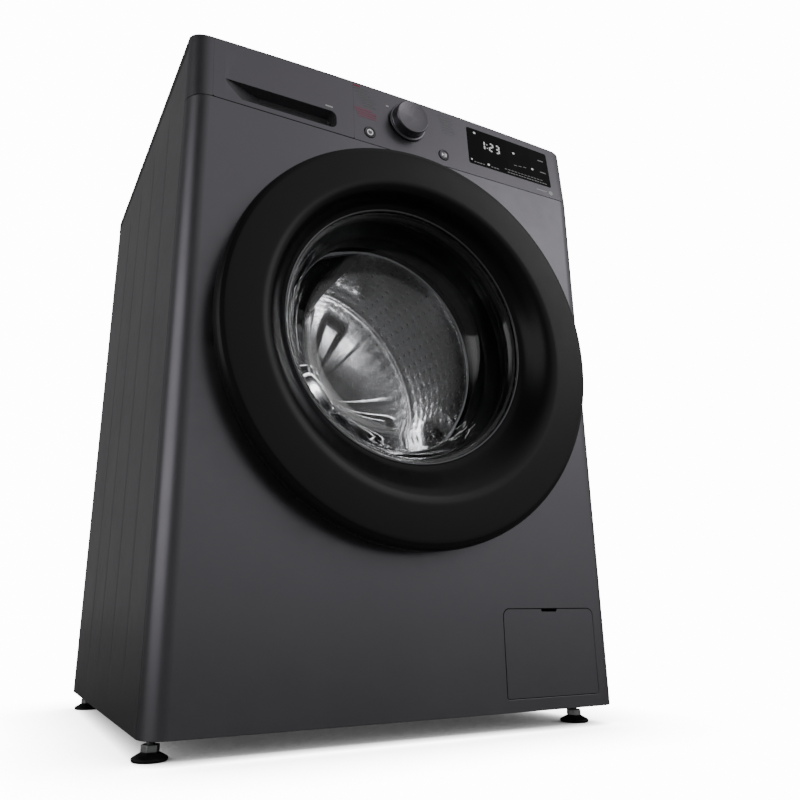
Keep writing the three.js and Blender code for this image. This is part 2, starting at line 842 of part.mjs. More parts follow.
function hingePin() {
  const span = hingeHalf + 10;
  const top = doorHeight + span;
  const pin = barZ(hingeX, hingeY, pinRadius, doorHeight - span, top, 16);
  return pin.add(barZ(hingeX, hingeY, pinRadius + 1.2, top - 1, top + 1.2, 16));
}

function doorHook() {
  const [x, z] = [hookX, drumHeight];
  const outline = [[x - 3, -15], [x + 3, -15], [x + 3, 8], [x + 6.5, 9.5], [x + 3, 14], [x - 3, 14]];
  const blade = uprightPrism(outline, z - hookHalf, z + hookHalf);
  return blade.add(barZ(x, -12, hookAxleRadius, z - hookHalf - 4, z + hookHalf + 4, 12));
}

function doorLock() {
  const [x, z] = [hookX, drumHeight];
  const room = hookHalf + 3.5;
  const body = box([x - 14, x + 28], [sheet + fitGap, 38], [z - 40, z + 34]);
  return body.subtract(box([x - 9.5, x + 11], [0, 19], [z - room, z + room]));
}

// ---------------------------------------------------------------- tub and drum

function doorGasket() {
  const g = drumHeight;
  const wall = openingRadius + 3;
  const lip = tubMouth * Math.cos(Math.PI / drumSides) - fitGap;
  const t = gasketWall;
  const front = sheet + fitGap;
  return turnedY([
    [wall + 5, front, g], [wall + 5, 5, g], [wall, 6, g], [wall, 30, g], [wall - 10, 37, g],
    [wall, 44, g], [wall, 50, g], [lip, 68, g], [lip, 90, g], [lip - t, 90, g], [lip - t, 66, g],
    [wall - t - 2, 49, g], [wall - t - 12, 38, g], [wall - t - 12, 36, g], [wall - t, 28, g],
    [wall - t, 17, g], [wall - 22, 21, g], [wall - 22, 19.5, g], [wall - t, 14, g], [wall - t, front, g],
  ], 24);
}

function tubFront() {
  const g = drumHeight;
  const y = tubFrontY;
  const outer = tubOuter;
  return turnedY([
    [tubMouth, y - 10, g], [tubMouth + tubWall, y - 10, g], [tubMouth + tubWall, y, g], [outer, y, g],
    [outer, y + tubSplit - flangeThick, g], [tubFlange, y + tubSplit - flangeThick, g],
    [tubFlange, y + tubSplit, g],
    [tubRadius, y + tubSplit, g], [tubRadius, y + tubWall, g], [tubMouth, y + tubWall, g],
  ], drumSides);
}

function tubLugs() {
  const z = drumHeight;
  const lugs = [];
  for (const side of [-1, 1]) {
    const x = [side * tubRadius * 0.765, side * (springX + lugHalf)].sort((a, b) => a - b);
    const top = z + springLug;
    lugs.push(box(x, [springY - lugHalf, springY + lugHalf], [top - lugThick, top]));
    const d = side * damperX;
    const low = z - damperLug - damperLugDrop;
    lugs.push(box([d - 9, d + 9], [damperY - 7, damperY + 7], [low, z - damperLug]));
  }
  return lugs;
}

function tubRearShell() {
  const g = drumHeight;
  const y = tubFrontY + tubSplit + fitGap;
  const outer = tubOuter;
  const wall = tubRear;
  const seat = bearingOuter + fitGap;
  const t = flangeThick;
  const step = bearingDepth + 1;
  const end = wall + hubDepth;
  const lipY = wall + step * 2;
  const shell = turnedY([
    [tubRadius, y, g], [tubFlange, y, g], [tubFlange, y + t, g], [outer, y + t, g], [outer, wall, g],
    [hubRadius, wall, g], [hubRadius, end, g], [seat, end, g], [seat, lipY, g], [seat - 5, lipY, g],
    [seat - 5, wall + step, g], [seat, wall + step, g], [seat, wall - tubWall - 6, g],
    [hubRadius, wall - tubWall - 6, g], [hubRadius, wall - tubWall, g], [tubRadius, wall - tubWall, g],
  ], drumSides);
  const heaterHole = box([-30, 30], [wall - 10, wall + 10], [g - tubRadius + 2, g - tubRadius + 18]);
  const hollow = barY(0, g, tubRadius - 0.05, y, wall - tubWall, drumSides);
  const lugs = tubLugs().map((lug) => lug.subtract(hollow));
  return cut(join(shell, ...lugs), heaterHole);
}

function counterweight(side) {
  const g = drumHeight;
  const y1 = tubFrontY - fitGap;
  const ring = ringY(openingRadius + 10, tubRadius - 2, y1 - weightDepth, y1, drumSides);
  const keep = side > 0 ? [g + 8, g + tubRadius] : [g - tubRadius, g - 60];
  return ring.intersect(box([-half, half], [0, tubFrontY], keep));
}

function drumShell() {
  const g = drumHeight;
  const t = drumSheet;
  const [y0, y1] = [drumFrontY, drumRear];
  const seat = 40;
  return turnedY([
    [drumMouth, y0, g], [drumRadius - 10, y0, g], [drumRadius, y0 + 10, g], [drumRadius, y1, g],
    [seat, y1, g], [seat, y1 - t, g], [drumRadius - t, y1 - t, g], [drumRadius - t, y0 + 10 + t / 2, g],
    [drumRadius - 10 - t / 2, y0 + t, g], [drumMouth + 1, y0 + t, g], [drumMouth + 1, y0 + 7, g],
    [drumMouth, y0 + 7, g],
  ], drumSides);
}

function drumSpider() {
  const g = drumHeight;
  const y = drumRear + fitGap;
  const reach = drumRadius - 16;
  let body = barY(0, g, spiderHub, y, y + 8, 24);
  for (let n = 0; n < lifterCount; n += 1) {
    const arm = new THREE.BoxGeometry(spiderArm, 6, reach);
    arm.translate(0, y + 3, reach / 2).rotateY((n / lifterCount) * Math.PI * 2).translate(0, 0, g);
    body = body.add(solid(arm));
  }
  return body.subtract(barY(0, g, axleRadius + fitGap, y - past, y + past * 2, 20));
}

// Hollow paddle on the inside of the drum wall.
function lifter(n) {
  const r = (drumRadius - drumSheet) * Math.cos(Math.PI / drumSides) - fitGap;
  const flank = Math.sqrt(r ** 2 - lifterHalf ** 2);
  const waist = lifterHalf * 0.55;
  const waistHeight = flank - lifterHeight * 0.7;
  const tip = flank - lifterHeight;
  const outline = [
    [-lifterHalf, flank], [-waist, waistHeight], [-lifterTop, tip],
    [lifterTop, tip], [waist, waistHeight], [lifterHalf, flank],
  ];
  const y0 = drumFrontY + 26;
  const y1 = drumRear - 18;
  const raised = new THREE.ExtrudeGeometry(outlineShape(outline), { depth: y1 - y0, bevelEnabled: false });
  raised.rotateX(Math.PI / 2).translate(0, y1, 0);
  raised.rotateY((n / lifterCount) * Math.PI * 2).translate(0, 0, drumHeight);
  return solid(raised);
}

function drumShaft() {
  const g = drumHeight;
  const y = drumRear - 6;
  return turnedY([
    [0, y, g], [34, y, g], [34, y + 4, g], [axleRadius, y + 4.5, g], [axleRadius, tubRear + 62, g],
    [0, tubRear + 62, g],
  ], 24);
}

function bearing(y) {
  return ringY(axleRadius + fitGap, bearingOuter, y, y + bearingDepth, 24);
}

function stator() {
  const y = tubRear + 6;
  const poleRoot = statorInner + 8;
  let body = ringY(statorInner, statorInner + 14, y, y + statorDepth, 24);
  for (let n = 0; n < poleCount; n += 1) {
    const pole = new THREE.BoxGeometry(poleWidth, statorDepth - 4, statorOuter - poleRoot);
    pole.translate(0, y + statorDepth / 2, (statorOuter + poleRoot) / 2);
    pole.rotateY((n / poleCount) * Math.PI * 2).translate(0, 0, drumHeight);
    body = body.add(solid(pole));
  }
  const mount = ringY(statorInner + 1, statorInner + 10, tubRear + fitGap, y + 1, 24);
  return body.add(mount);
}

function rotor() {
  const g = drumHeight;
  const y0 = tubRear + 6;
  const y1 = y0 + rotorDepth;
  const inner = rotorRadius - rotorWall;
  const seat = axleRadius + fitGap;
  return turnedY([
    [inner, y0, g], [rotorRadius, y0, g], [rotorRadius, y1, g], [seat, y1, g],
    [seat, y1 - 5, g], [inner, y1 - 5, g],
  ], 30);
}

function heater() {
  const z = drumHeight - tubRadius + 10;
  const y1 = tubRear + fitGap;
  const front = tubFrontY + 106;
  const r = heaterRadius;
  const reach = heaterHalf + r;
  const rod = (x) => barY(x, z, r, front, y1 + 1, 10);
  const flangePlate = box([-34, 34], [y1, y1 + 3.5], [z - 12, z + 10]);
  return join(flangePlate, rod(-heaterHalf), rod(heaterHalf), barX(front, z, r, -reach, reach, 10));
}

// ---------------------------------------------------------------- springs, dampers and water

function tubSpring(side) {
  const low = drumHeight + springLug + fitGap;
  const high = topUnder - railDrop - fitGap;
  return barZ(side * springX, springY, springRadius, low, high, 12);
}

function damperTube(side) {
  const low = panFloor + fitGap;
  const top = low + damperTubeLength;
  const bore = damperRodRadius + 5;
  return turnedZ([
    [0, low], [damperTubeRadius, low], [damperTubeRadius, top], [bore, top], [bore, low + 6], [0, low + 6],
  ], 18, side * damperX, damperY);
}

function damperRod(side) {
  const r = damperRodRadius;
  const lug = drumHeight - damperLug - damperLugDrop - fitGap;
  const low = footHeight + 70;
  const top = low + pistonDepth;
  return turnedZ([
    [0, low], [r + 4, low], [r + 4, top], [r, top + 1], [r, lug], [0, lug],
  ], 14, side * damperX, damperY);
}

function drainPump() {
  const [x, z] = [pumpX, pumpHeight];
  const rear = pumpFront + pumpBody;
  const body = barY(x, z, pumpRadius, pumpFront, rear, 24);
  const motor = barY(x, z, motorRadius, rear - 1, rear + motorLength, 20);
  const stand = box([x - 22, x + 22], [40, 100], [panFloor + fitGap, z - 20]);
  const spout = barZ(spoutX, spoutY, sumpRadius + 2, z + 20, z + 50, 16);
  const bore = barY(x, z, pumpBore, pumpFront - past, rear - 8, 24);
  const spoutBore = barZ(spoutX, spoutY, sumpRadius - 1, z, z + 50 + past, 16);
  return cut(join(body, motor, stand, spout), bore, spoutBore);
}

function pumpFilter() {
  const [x, z] = [pumpX, pumpHeight];
  const plug = barY(x, z, pumpBore - fitGap * 2, pumpFront - past, pumpFront + 22, 24);
  const cage = barY(x, z, pumpBore - 8, pumpFront + 21, pumpFront + 70, 12);
  const grip = box([x - 18, x + 18], [9, 18], [z - 3, z + 3]);
  return join(plug, cage, grip);
}

function filterCover() {
  const { low } = coverBox;
  const plate = facePrism(roundedOutline(coverLeft, coverRight, low, coverHigh, 5), 0, coverThick);
  const latch = [coverMiddle - latchWidth / 2, coverMiddle + latchWidth / 2];
  const notch = box(latch, [-1, 1.4], [coverHigh - latchDrop, coverHigh + 1]);
  const pins = barX(coverPivot, low + coverPivot, coverPivot, coverLeft + 4, coverRight - 4, 12);
  return cut(plate, notch).add(pins);
}

function hose(points, radius, sides = 10) {
  const path = new THREE.CatmullRomCurve3(points.map(([x, y, z]) => new THREE.Vector3(x, y, z)));
  const section = new THREE.Shape();
  section.absarc(0, 0, radius, 0, Math.PI * 2);
  const tube = new THREE.ExtrudeGeometry(section, {
    steps: 12, extrudePath: path, curveSegments: sides, bevelEnabled: false,
  });
  return solid(tube);
}

function sumpHose() {
  const top = drumHeight - tubOuter - 1.2;
  const [x, y, z] = [spoutX, spoutY, pumpHeight + 50 + fitGap];
  return hose([
    [x, y, z + 0.5], [x, y, z + 16], [x - 90, y + 26, top - 38], [30, 150, top - 22], [30, 150, top],
  ], sumpRadius);
}

function dispenserHose() {
  const top = trayZ[0] - housingClear - housingWall - spoutLength - fitGap;
  const near = Math.abs(hoseX) - dispenserHoseRadius;
  const low = drumHeight + Math.sqrt(tubOuter ** 2 - near ** 2) + 1;
  return barZ(hoseX, hoseY, dispenserHoseRadius, low, top, 14);
}

function inletValve() {
  const { x, radius, bore } = inletPlace;
  const z = valveHeight;
  const rear = depth - sheet - fitGap;
  const body = box([x - 20, x + 20], [depth - 60, rear], [z - 20, z + 20]);
  const thread = barY(x, z, radius, rear - past, rearReach, 18);
  return cut(body.add(thread), barY(x, z, bore, depth - 20, rearReach + past, 14));
}

function drainOutlet() {
  const { x, z, radius, bore } = drainPlace;
  const rear = depth - sheet - fitGap;
  const body = barY(x, z, radius, depth - 40, rearReach, 18);
  const collar = barY(x, z, radius + 7, rear - 4.5, rear, 18);
  return cut(body.add(collar), barY(x, z, bore, depth - 50, rearReach + past, 14));
}

function mainsGland() {
  const { x, radius, bore } = glandPlace;
  const z = glandHeight;
  const body = barY(x, z, radius, depth - 12, depth + 6, 16);
  const collar = barY(x, z, radius + 4.5, depth + fitGap, depth + 3, 16);
  return cut(body.add(collar), barY(x, z, bore, depth - 20, depth + 20, 12));
}

// ---------------------------------------------------------------- assembly

add('front_panel', graphite, frontPanel());
add('side_panel_right', graphite, sidePanel());
add('side_panel_left', graphite, mirrored(sidePanel()));
add('back_panel', zincSteel, backPanel());
add('rear_cover', zincSteel, rearCover());
add('top_plate', graphite, topPlate());
add('base_pan', darkPlastic, basePan());
for (const [place, y] of [['front', footFrontY], ['rear', footRearY]]) {
  add(`foot_${place}_left`, satinBlack, foot(footLeft, y));
  add(`foot_${place}_right`, satinBlack, foot(footRight, y));
}

add('control_fascia', fasciaPaint, controlFascia());
add('drawer_front', fasciaPaint, drawerFront());
add('detergent_drawer', greyPlastic, detergentDrawer());
add('siphon_cap', paleBlue, siphonCap());
add('dispenser_housing', greyPlastic, dispenserHousing());
add('display_window', glossBlack, displayWindow());
add('control_board', boardGreen, controlBoard());
add('program_knob', fasciaPaint, programKnob());
add('power_button', fasciaPaint, pushButton(powerPlace));
add('start_button', fasciaPaint, pushButton(startPlace));

add('door_ring', satinBlack, doorRing());
add('door_frame', darkPlastic, doorFrame());
add('door_glass', clearGlass, doorGlass());
add('door_hinge_plate', zincSteel, doorHingePlate());
add('hinge_pin', zincSteel, hingePin());
add('hinge_bracket', darkPlastic, hingeBracket());
add('door_hook', zincSteel, doorHook());
add('door_lock', darkPlastic, doorLock());

add('door_gasket', softRubber, doorGasket());
add('tub_front', greyPlastic, tubFront());
add('tub_rear', greyPlastic, tubRearShell());
add('counterweight_upper', greyIron, counterweight(1));
add('counterweight_lower', greyIron, counterweight(-1));
add('drum_shell', stainless, drumShell());
add('drum_spider', castAlloy, drumSpider());
for (let n = 0; n < lifterCount; n += 1) {
  add(`drum_lifter_${n + 1}`, greyPlastic, lifter(n));
}
add('drum_shaft', zincSteel, drumShaft());
add('bearing_front', stainless, bearing(tubRear));
add('bearing_rear', stainless, bearing(tubRear + 30));
add('stator', copper, stator());
add('rotor', zincSteel, rotor());
add('heater', stainless, heater());

for (const [name, side] of [['left', -1], ['right', 1]]) {
  add(`tub_spring_${name}`, zincSteel, tubSpring(side));
  add(`damper_tube_${name}`, darkPlastic, damperTube(side));
  add(`damper_rod_${name}`, zincSteel, damperRod(side));
}
add('drain_pump', greyPlastic, drainPump());
add('pump_filter', darkPlastic, pumpFilter());
add('filter_cover', graphite, filterCover());
add('sump_hose', softRubber, sumpHose());
add('dispenser_hose', softRubber, dispenserHose());
add('inlet_valve', greyPlastic, inletValve());
add('drain_outlet', darkPlastic, drainOutlet());
add('mains_gland', darkPlastic, mainsGland());

export default machine;
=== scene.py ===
import json
import math

import bmesh
import bpy
from mathutils import Matrix, Vector


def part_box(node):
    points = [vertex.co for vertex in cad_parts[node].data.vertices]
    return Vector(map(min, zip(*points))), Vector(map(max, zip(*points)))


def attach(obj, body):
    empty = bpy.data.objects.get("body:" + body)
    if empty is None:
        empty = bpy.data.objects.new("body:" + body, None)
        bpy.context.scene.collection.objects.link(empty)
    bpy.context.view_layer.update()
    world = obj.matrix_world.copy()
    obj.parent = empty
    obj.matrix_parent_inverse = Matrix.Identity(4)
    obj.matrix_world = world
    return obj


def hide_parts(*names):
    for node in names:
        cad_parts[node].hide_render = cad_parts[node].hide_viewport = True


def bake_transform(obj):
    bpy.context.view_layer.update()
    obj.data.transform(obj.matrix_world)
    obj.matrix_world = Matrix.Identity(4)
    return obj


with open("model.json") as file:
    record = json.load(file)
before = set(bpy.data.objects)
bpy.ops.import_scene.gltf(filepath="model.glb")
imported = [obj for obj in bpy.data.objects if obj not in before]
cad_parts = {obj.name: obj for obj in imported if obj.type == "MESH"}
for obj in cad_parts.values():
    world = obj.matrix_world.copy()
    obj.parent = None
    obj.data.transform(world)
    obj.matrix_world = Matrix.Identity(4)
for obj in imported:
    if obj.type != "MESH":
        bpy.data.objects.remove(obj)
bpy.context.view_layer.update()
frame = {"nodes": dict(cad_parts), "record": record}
cad = {name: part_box(name) for name in frame["nodes"]}
nodeBody = {node: body for body, nodes in frame["record"]["behaviour"]["bodies"].items() for node in nodes}
nodeSlot = {part["node"]: part["material_slot"] for part in frame["record"]["subparts"]}

# All sizes below are millimetres; y is measured from the front panel's plane towards the wall.
mm = 0.001
frontPlane = cad["front_panel"][0].y
halfWidth = cad["front_panel"][1].x / mm
topHeight = cad["top_plate"][1].z / mm
seamHeight = cad["front_panel"][1].z / mm
panelLow = cad["front_panel"][0].z / mm
drumHeight = (cad["drum_shell"][0].z + cad["drum_shell"][1].z) / 2 / mm
doorHeight = (cad["door_ring"][0].z + cad["door_ring"][1].z) / 2 / mm
doorRadius = cad["door_ring"][1].x / mm
knobPlace = ((cad["program_knob"][0].x + cad["program_knob"][1].x) / 2 / mm,
             (cad["program_knob"][0].z + cad["program_knob"][1].z) / 2 / mm)
wallDepth = (cad["back_panel"][1].y - frontPlane) / mm


def at(x, y, z):
    return Vector((x * mm, y * mm + frontPlane, z * mm))


def span(node, axis):
    # lowest and highest value of a node along one axis, in millimetres from the front plane
    shift = frontPlane if axis == "y" else 0
    low, high = cad[node]
    return (getattr(low, axis) - shift) / mm, (getattr(high, axis) - shift) / mm


# Shader groups that several finishes share.

def newGroup(name, inputs, outputs):
    group = bpy.data.node_groups.new(name, "ShaderNodeTree")
    for label, kind, value in inputs:
        socket = group.interface.new_socket(name=label, in_out="INPUT", socket_type=kind)
        socket.default_value = value
    for label, kind in outputs:
        group.interface.new_socket(name=label, in_out="OUTPUT", socket_type=kind)
    return group, group.nodes.new("NodeGroupInput"), group.nodes.new("NodeGroupOutput")


def mathNode(tree, operation, first, second=None):
    node = tree.nodes.new("ShaderNodeMath")
    node.operation = operation
    for socket, value in zip(node.inputs, (first, second)):
        if value is None:
            continue
        if isinstance(value, (int, float)):
            socket.default_value = value
        else:
            tree.links.new(value, socket)
    return node.outputs[0]


def noiseNode(tree, vector, scale, detail=3.0, roughness=0.5):
    node = tree.nodes.new("ShaderNodeTexNoise")
    node.inputs["Detail"].default_value = detail
    node.inputs["Roughness"].default_value = roughness
    tree.links.new(vector, node.inputs["Vector"])
    if isinstance(scale, (int, float)):
        node.inputs["Scale"].default_value = scale
    else:
        tree.links.new(scale, node.inputs["Scale"])
    return node.outputs["Fac"]


def rampNode(tree, value, low, high):
    node = tree.nodes.new("ShaderNodeMapRange")
    node.interpolation_type = "SMOOTHSTEP"
    node.inputs["From Min"].default_value = low
    node.inputs["From Max"].default_value = high
    tree.links.new(value, node.inputs["Value"])
    return node.outputs[0]


def makeGrainGroup():
    # fine moulded or sprayed grain, with slow clouds of tone
    tree, ins, outs = newGroup("surfaceGrain", [
        ("Scale", "NodeSocketFloat", 900.0), ("Clouds", "NodeSocketFloat", 5.0),
    ], [("Height", "NodeSocketFloat"), ("Tone", "NodeSocketFloat")])
    where = tree.nodes.new("ShaderNodeTexCoord").outputs["Object"]
    fine = noiseNode(tree, where, ins.outputs["Scale"], 2.0)
    clouds = noiseNode(tree, where, ins.outputs["Clouds"], 4.0)
    tone = mathNode(tree, "ADD", mathNode(tree, "MULTIPLY", clouds, 0.7), mathNode(tree, "MULTIPLY", fine, 0.3))
    tree.links.new(fine, outs.inputs["Height"])
    tree.links.new(tone, outs.inputs["Tone"])
    return tree


def makeSmudgeGroup():
    # hand smears and wiped patches that change the gloss
    tree, ins, outs = newGroup("handSmears", [("Scale", "NodeSocketFloat", 9.0)], [("Mask", "NodeSocketFloat")])
    where = tree.nodes.new("ShaderNodeTexCoord").outputs["Object"]
    broad = noiseNode(tree, where, ins.outputs["Scale"], 5.0, 0.6)
    fine = noiseNode(tree, where, 60.0, 3.0)
    mixed = mathNode(tree, "MULTIPLY", broad, mathNode(tree, "ADD", fine, 0.5))
    tree.links.new(rampNode(tree, mixed, 0.28, 0.75), outs.inputs["Mask"])
    return tree


def makeDustGroup():
    # settled dust on faces that look up, more of it near the floor
    tree, ins, outs = newGroup("settledDust", [("Amount", "NodeSocketFloat", 0.2)], [("Mask", "NodeSocketFloat")])
    shape = tree.nodes.new("ShaderNodeNewGeometry")
    split = tree.nodes.new("ShaderNodeSeparateXYZ")
    tree.links.new(shape.outputs["Normal"], split.inputs[0])
    facing = rampNode(tree, split.outputs["Z"], 0.3, 1.0)
    where = tree.nodes.new("ShaderNodeTexCoord").outputs["Object"]
    height = tree.nodes.new("ShaderNodeSeparateXYZ")
    tree.links.new(where, height.inputs[0])
    low = rampNode(tree, height.outputs["Z"], 0.09, 0.0)
    both = mathNode(tree, "ADD", facing, mathNode(tree, "MULTIPLY", low, 0.5))
    spread = rampNode(tree, noiseNode(tree, where, 34.0, 6.0, 0.65), 0.35, 0.8)
    mask = mathNode(tree, "MULTIPLY", mathNode(tree, "MULTIPLY", both, spread), ins.outputs["Amount"])
    tree.links.new(mask, outs.inputs["Mask"])
    return tree


def makeBrushGroup():
    # fine parallel lines left by rolling or brushing
    tree, ins, outs = newGroup("brushLines", [
        ("Stretch", "NodeSocketVector", (40.0, 1200.0, 1200.0)),
    ], [("Height", "NodeSocketFloat"), ("Tone", "NodeSocketFloat")])
    where = tree.nodes.new("ShaderNodeTexCoord").outputs["Object"]
    stretch = tree.nodes.new("ShaderNodeVectorMath")
    stretch.operation = "MULTIPLY"
    tree.links.new(where, stretch.inputs[0])
    tree.links.new(ins.outputs["Stretch"], stretch.inputs[1])
    lines = noiseNode(tree, stretch.outputs[0], 1.0, 2.0)
    slow = noiseNode(tree, stretch.outputs[0], 0.21, 1.0)
    tree.links.new(lines, outs.inputs["Height"])
    tree.links.new(mathNode(tree, "MULTIPLY", mathNode(tree, "ADD", lines, slow), 0.5), outs.inputs["Tone"])
    return tree


grainGroup = makeGrainGroup()
smudgeGroup = makeSmudgeGroup()
dustGroup = makeDustGroup()
brushGroup = makeBrushGroup()


def addGroup(tree, group, **values):
    node = tree.nodes.new("ShaderNodeGroup")
    node.node_tree = group
    for label, value in values.items():
        node.inputs[label.capitalize()].default_value = value
    return node


def mixColor(tree, factor, first, second):
    node = tree.nodes.new("ShaderNodeMix")
    node.data_type = "RGBA"
    tree.links.new(factor, node.inputs["Factor"])
    for socket, value in ((node.inputs["A"], first), (node.inputs["B"], second)):
        if isinstance(value, tuple):
            socket.default_value = (*value, 1)
        else:
            tree.links.new(value, socket)
    return node.outputs["Result"]


def finish(name, color, rough, metal=0.0, grain=900.0, bump=0.05, tone=0.12, smears=0.08, dust=0.1,
           brushed=None, specular=0.5):
    # one painted, moulded or metal finish: tone and gloss vary, the grain is a bump
    material = bpy.data.materials.new(name)
    material.use_nodes = True
    tree = material.node_tree
    shader = tree.nodes["Principled BSDF"]
    shader.inputs["Metallic"].default_value = metal
    shader.inputs["Specular IOR Level"].default_value = specular
    if brushed:
        texture = addGroup(tree, brushGroup, stretch=brushed)
    else:
        texture = addGroup(tree, grainGroup, scale=grain)
    dark = tuple(channel * (1 - tone) for channel in color)
    light = tuple(min(channel * (1 + tone), 1) for channel in color)
    base = mixColor(tree, texture.outputs["Tone"], dark, light)
    if dust:
        mask = addGroup(tree, dustGroup, amount=dust).outputs["Mask"]
        base = mixColor(tree, mask, base, (0.32, 0.31, 0.3))
    tree.links.new(base, shader.inputs["Base Color"])
    smear = addGroup(tree, smudgeGroup).outputs["Mask"]
    gloss = mathNode(tree, "ADD", mathNode(tree, "MULTIPLY", smear, smears), rough - smears / 2)
    tree.links.new(gloss, shader.inputs["Roughness"])
    relief = tree.nodes.new("ShaderNodeBump")
    relief.inputs["Strength"].default_value = bump
    relief.inputs["Distance"].default_value = 0.0004
    tree.links.new(texture.outputs["Height"], relief.inputs["Height"])
    tree.links.new(relief.outputs["Normal"], shader.inputs["Normal"])
    return material


def glassFinish(name, color, ior=1.5):
    material = bpy.data.materials.new(name)
    material.use_nodes = True
    tree = material.node_tree
    shader = tree.nodes["Principled BSDF"]
    shader.inputs["Transmission Weight"].default_value = 1.0
    shader.inputs["IOR"].default_value = ior
    shader.inputs["Specular IOR Level"].default_value = 0.15
    shader.inputs["Metallic"].default_value = 0.0
    clean = addGroup(tree, smudgeGroup, scale=5.0).outputs["Mask"]
    tree.links.new(mathNode(tree, "MULTIPLY", clean, 0.02), shader.inputs["Roughness"])
    tree.links.new(mixColor(tree, clean, color, tuple(c * 0.97 for c in color)), shader.inputs["Base Color"])
    return material


def lightMark(name, color, strength=0.0):
    # printed or lit marks: the ink varies a little in density
    material = finish(name, color, 0.45, bump=0.02, tone=0.06, dust=0)
    if strength:
        shader = material.node_tree.nodes["Principled BSDF"]
        shader.inputs["Emission Color"].default_value = (*color, 1)
        shader.inputs["Emission Strength"].default_value = strength
    return material


paints = {
    "graphite_paint": finish("graphitePaint", (0.2, 0.192, 0.212), 0.33, 0.86, grain=1500.0, bump=0.03,
                             smears=0.05, dust=0.05),
    "fascia_paint": finish("fasciaPaint", (0.205, 0.195, 0.217), 0.34, 0.84, grain=1300.0, bump=0.04, smears=0.05,
                           dust=0.05),
    "top_laminate": finish("topLaminate", (0.03, 0.029, 0.032), 0.45, grain=700.0, bump=0.12, dust=0.3),
    "satin_black": finish("satinBlack", (0.0095, 0.0091, 0.0112), 0.3, grain=1800.0, bump=0.02, smears=0.05,
                          dust=0.04, specular=0.3),
    "dark_plastic": finish("darkPlastic", (0.011, 0.011, 0.012), 0.5, grain=1100.0, bump=0.12),
    "grey_plastic": finish("greyPlastic", (0.3, 0.305, 0.31), 0.5, grain=800.0, bump=0.12),
    "gloss_black": finish("glossBlack", (0.002, 0.0016, 0.0024), 0.1, bump=0.005, smears=0.04, dust=0.02,
                          specular=0.1),
    "gasket_rubber": finish("gasketRubber", (0.006, 0.0062, 0.0068), 0.42, grain=500.0, bump=0.12),
    "stainless": finish("stainless", (0.6, 0.6, 0.61), 0.17, 1.0, bump=0.05, tone=0.1, dust=0,
                        brushed=(60.0, 900.0, 60.0)),
    "cast_alloy": finish("castAlloy", (0.46, 0.47, 0.48), 0.5, 1.0, grain=420.0, bump=0.35),
    "zinc_steel": finish("zincSteel", (0.5, 0.51, 0.51), 0.36, 0.9, grain=60.0, bump=0.08, tone=0.2),
    "weight_iron": finish("weightIron", (0.14, 0.135, 0.13), 0.75, 0.3, grain=260.0, bump=0.5),
    "board_green": finish("boardGreen", (0.02, 0.1, 0.04), 0.45, grain=300.0, bump=0.15),
    "pale_blue": finish("paleBlue", (0.13, 0.36, 0.58), 0.4, bump=0.06),
    "copper": finish("woundCopper", (0.5, 0.19, 0.08), 0.34, 0.9, bump=0.5, brushed=(1500.0, 60.0, 1500.0)),
    "foot_black": finish("footBlack", (0.004, 0.004, 0.0045), 0.5, grain=700.0, bump=0.25, dust=0.15),
    "clear_glass": glassFinish("clearGlass", (0.9, 0.91, 0.92)),
    # darker, less metallic copy of the fascia paint for the grip pocket: painted shade of the recess
    "recessPaintedShade": finish("recessPaintedShade", (0.11, 0.107, 0.118), 0.42, 0.25, grain=1300.0, bump=0.04, dust=0.05),
    "lifterGrey": finish("lifterGrey", (0.12, 0.12, 0.125), 0.3, 0.7, grain=800.0, bump=0.1, dust=0),
    "buttonRing": finish("buttonRing", (0.1, 0.095, 0.105), 0.3, 0.75, bump=0.02, dust=0),
    "glassTrim": finish("glassTrim", (0.16, 0.16, 0.17), 0.22, 0.9, bump=0.02, dust=0),
    "inkWhite": lightMark("inkWhite", (0.9, 0.9, 0.92)),
    "inkFaint": lightMark("inkFaint", (0.22, 0.235, 0.22)),
    "inkRose": lightMark("inkRose", (0.4, 0.17, 0.24)),
    "inkRed": lightMark("inkRed", (0.55, 0.03, 0.1)),
    "digitLight": lightMark("digitLight", (0.8, 0.8, 0.83), 0.5),
    "iconDim": lightMark("iconDim", (0.4, 0.4, 0.42), 0.14),
}
print("finishes made:", len(paints))


# Making, cutting and rounding meshes.

def meshObject(name, mesh, paint):
    piece = bpy.data.objects.new(name, mesh)
    bpy.context.scene.collection.objects.link(piece)
    mesh.materials.clear()
    mesh.materials.append(paints[paint])
    return piece


def fromBmesh(name, shape, paint, sharp=35):
    bmesh.ops.remove_doubles(shape, verts=shape.verts, dist=1e-7)
    bmesh.ops.recalc_face_normals(shape, faces=shape.faces)
    mesh = bpy.data.meshes.new(name)
    shape.to_mesh(mesh)
    shape.free()
    mesh.shade_smooth()
    mesh.set_sharp_from_angle(angle=math.radians(sharp))
    return meshObject(name, mesh, paint)


def settled(piece, sharp=35):
    # applies what the modifiers give
    graph = bpy.context.evaluated_depsgraph_get()
    mesh = bpy.data.meshes.new_from_object(piece.evaluated_get(graph))
    piece.modifiers.clear()
    piece.data = mesh
    mesh.shade_smooth()
    mesh.set_sharp_from_angle(angle=math.radians(sharp))
    return piece


def bevelled(piece, width, segments=2, angle=35):
    bevel = piece.modifiers.new("edgeRound", "BEVEL")
    bevel.width = width * mm
    bevel.segments = segments
    bevel.limit_method = "ANGLE"
    bevel.angle_limit = math.radians(angle)
    even = piece.modifiers.new("evenShading", "WEIGHTED_NORMAL")
    even.keep_sharp = True
    even.weight = 100
    graph = bpy.context.evaluated_depsgraph_get()
    mesh = bpy.data.meshes.new_from_object(piece.evaluated_get(graph))
    piece.modifiers.clear()
    piece.data = mesh
    return piece


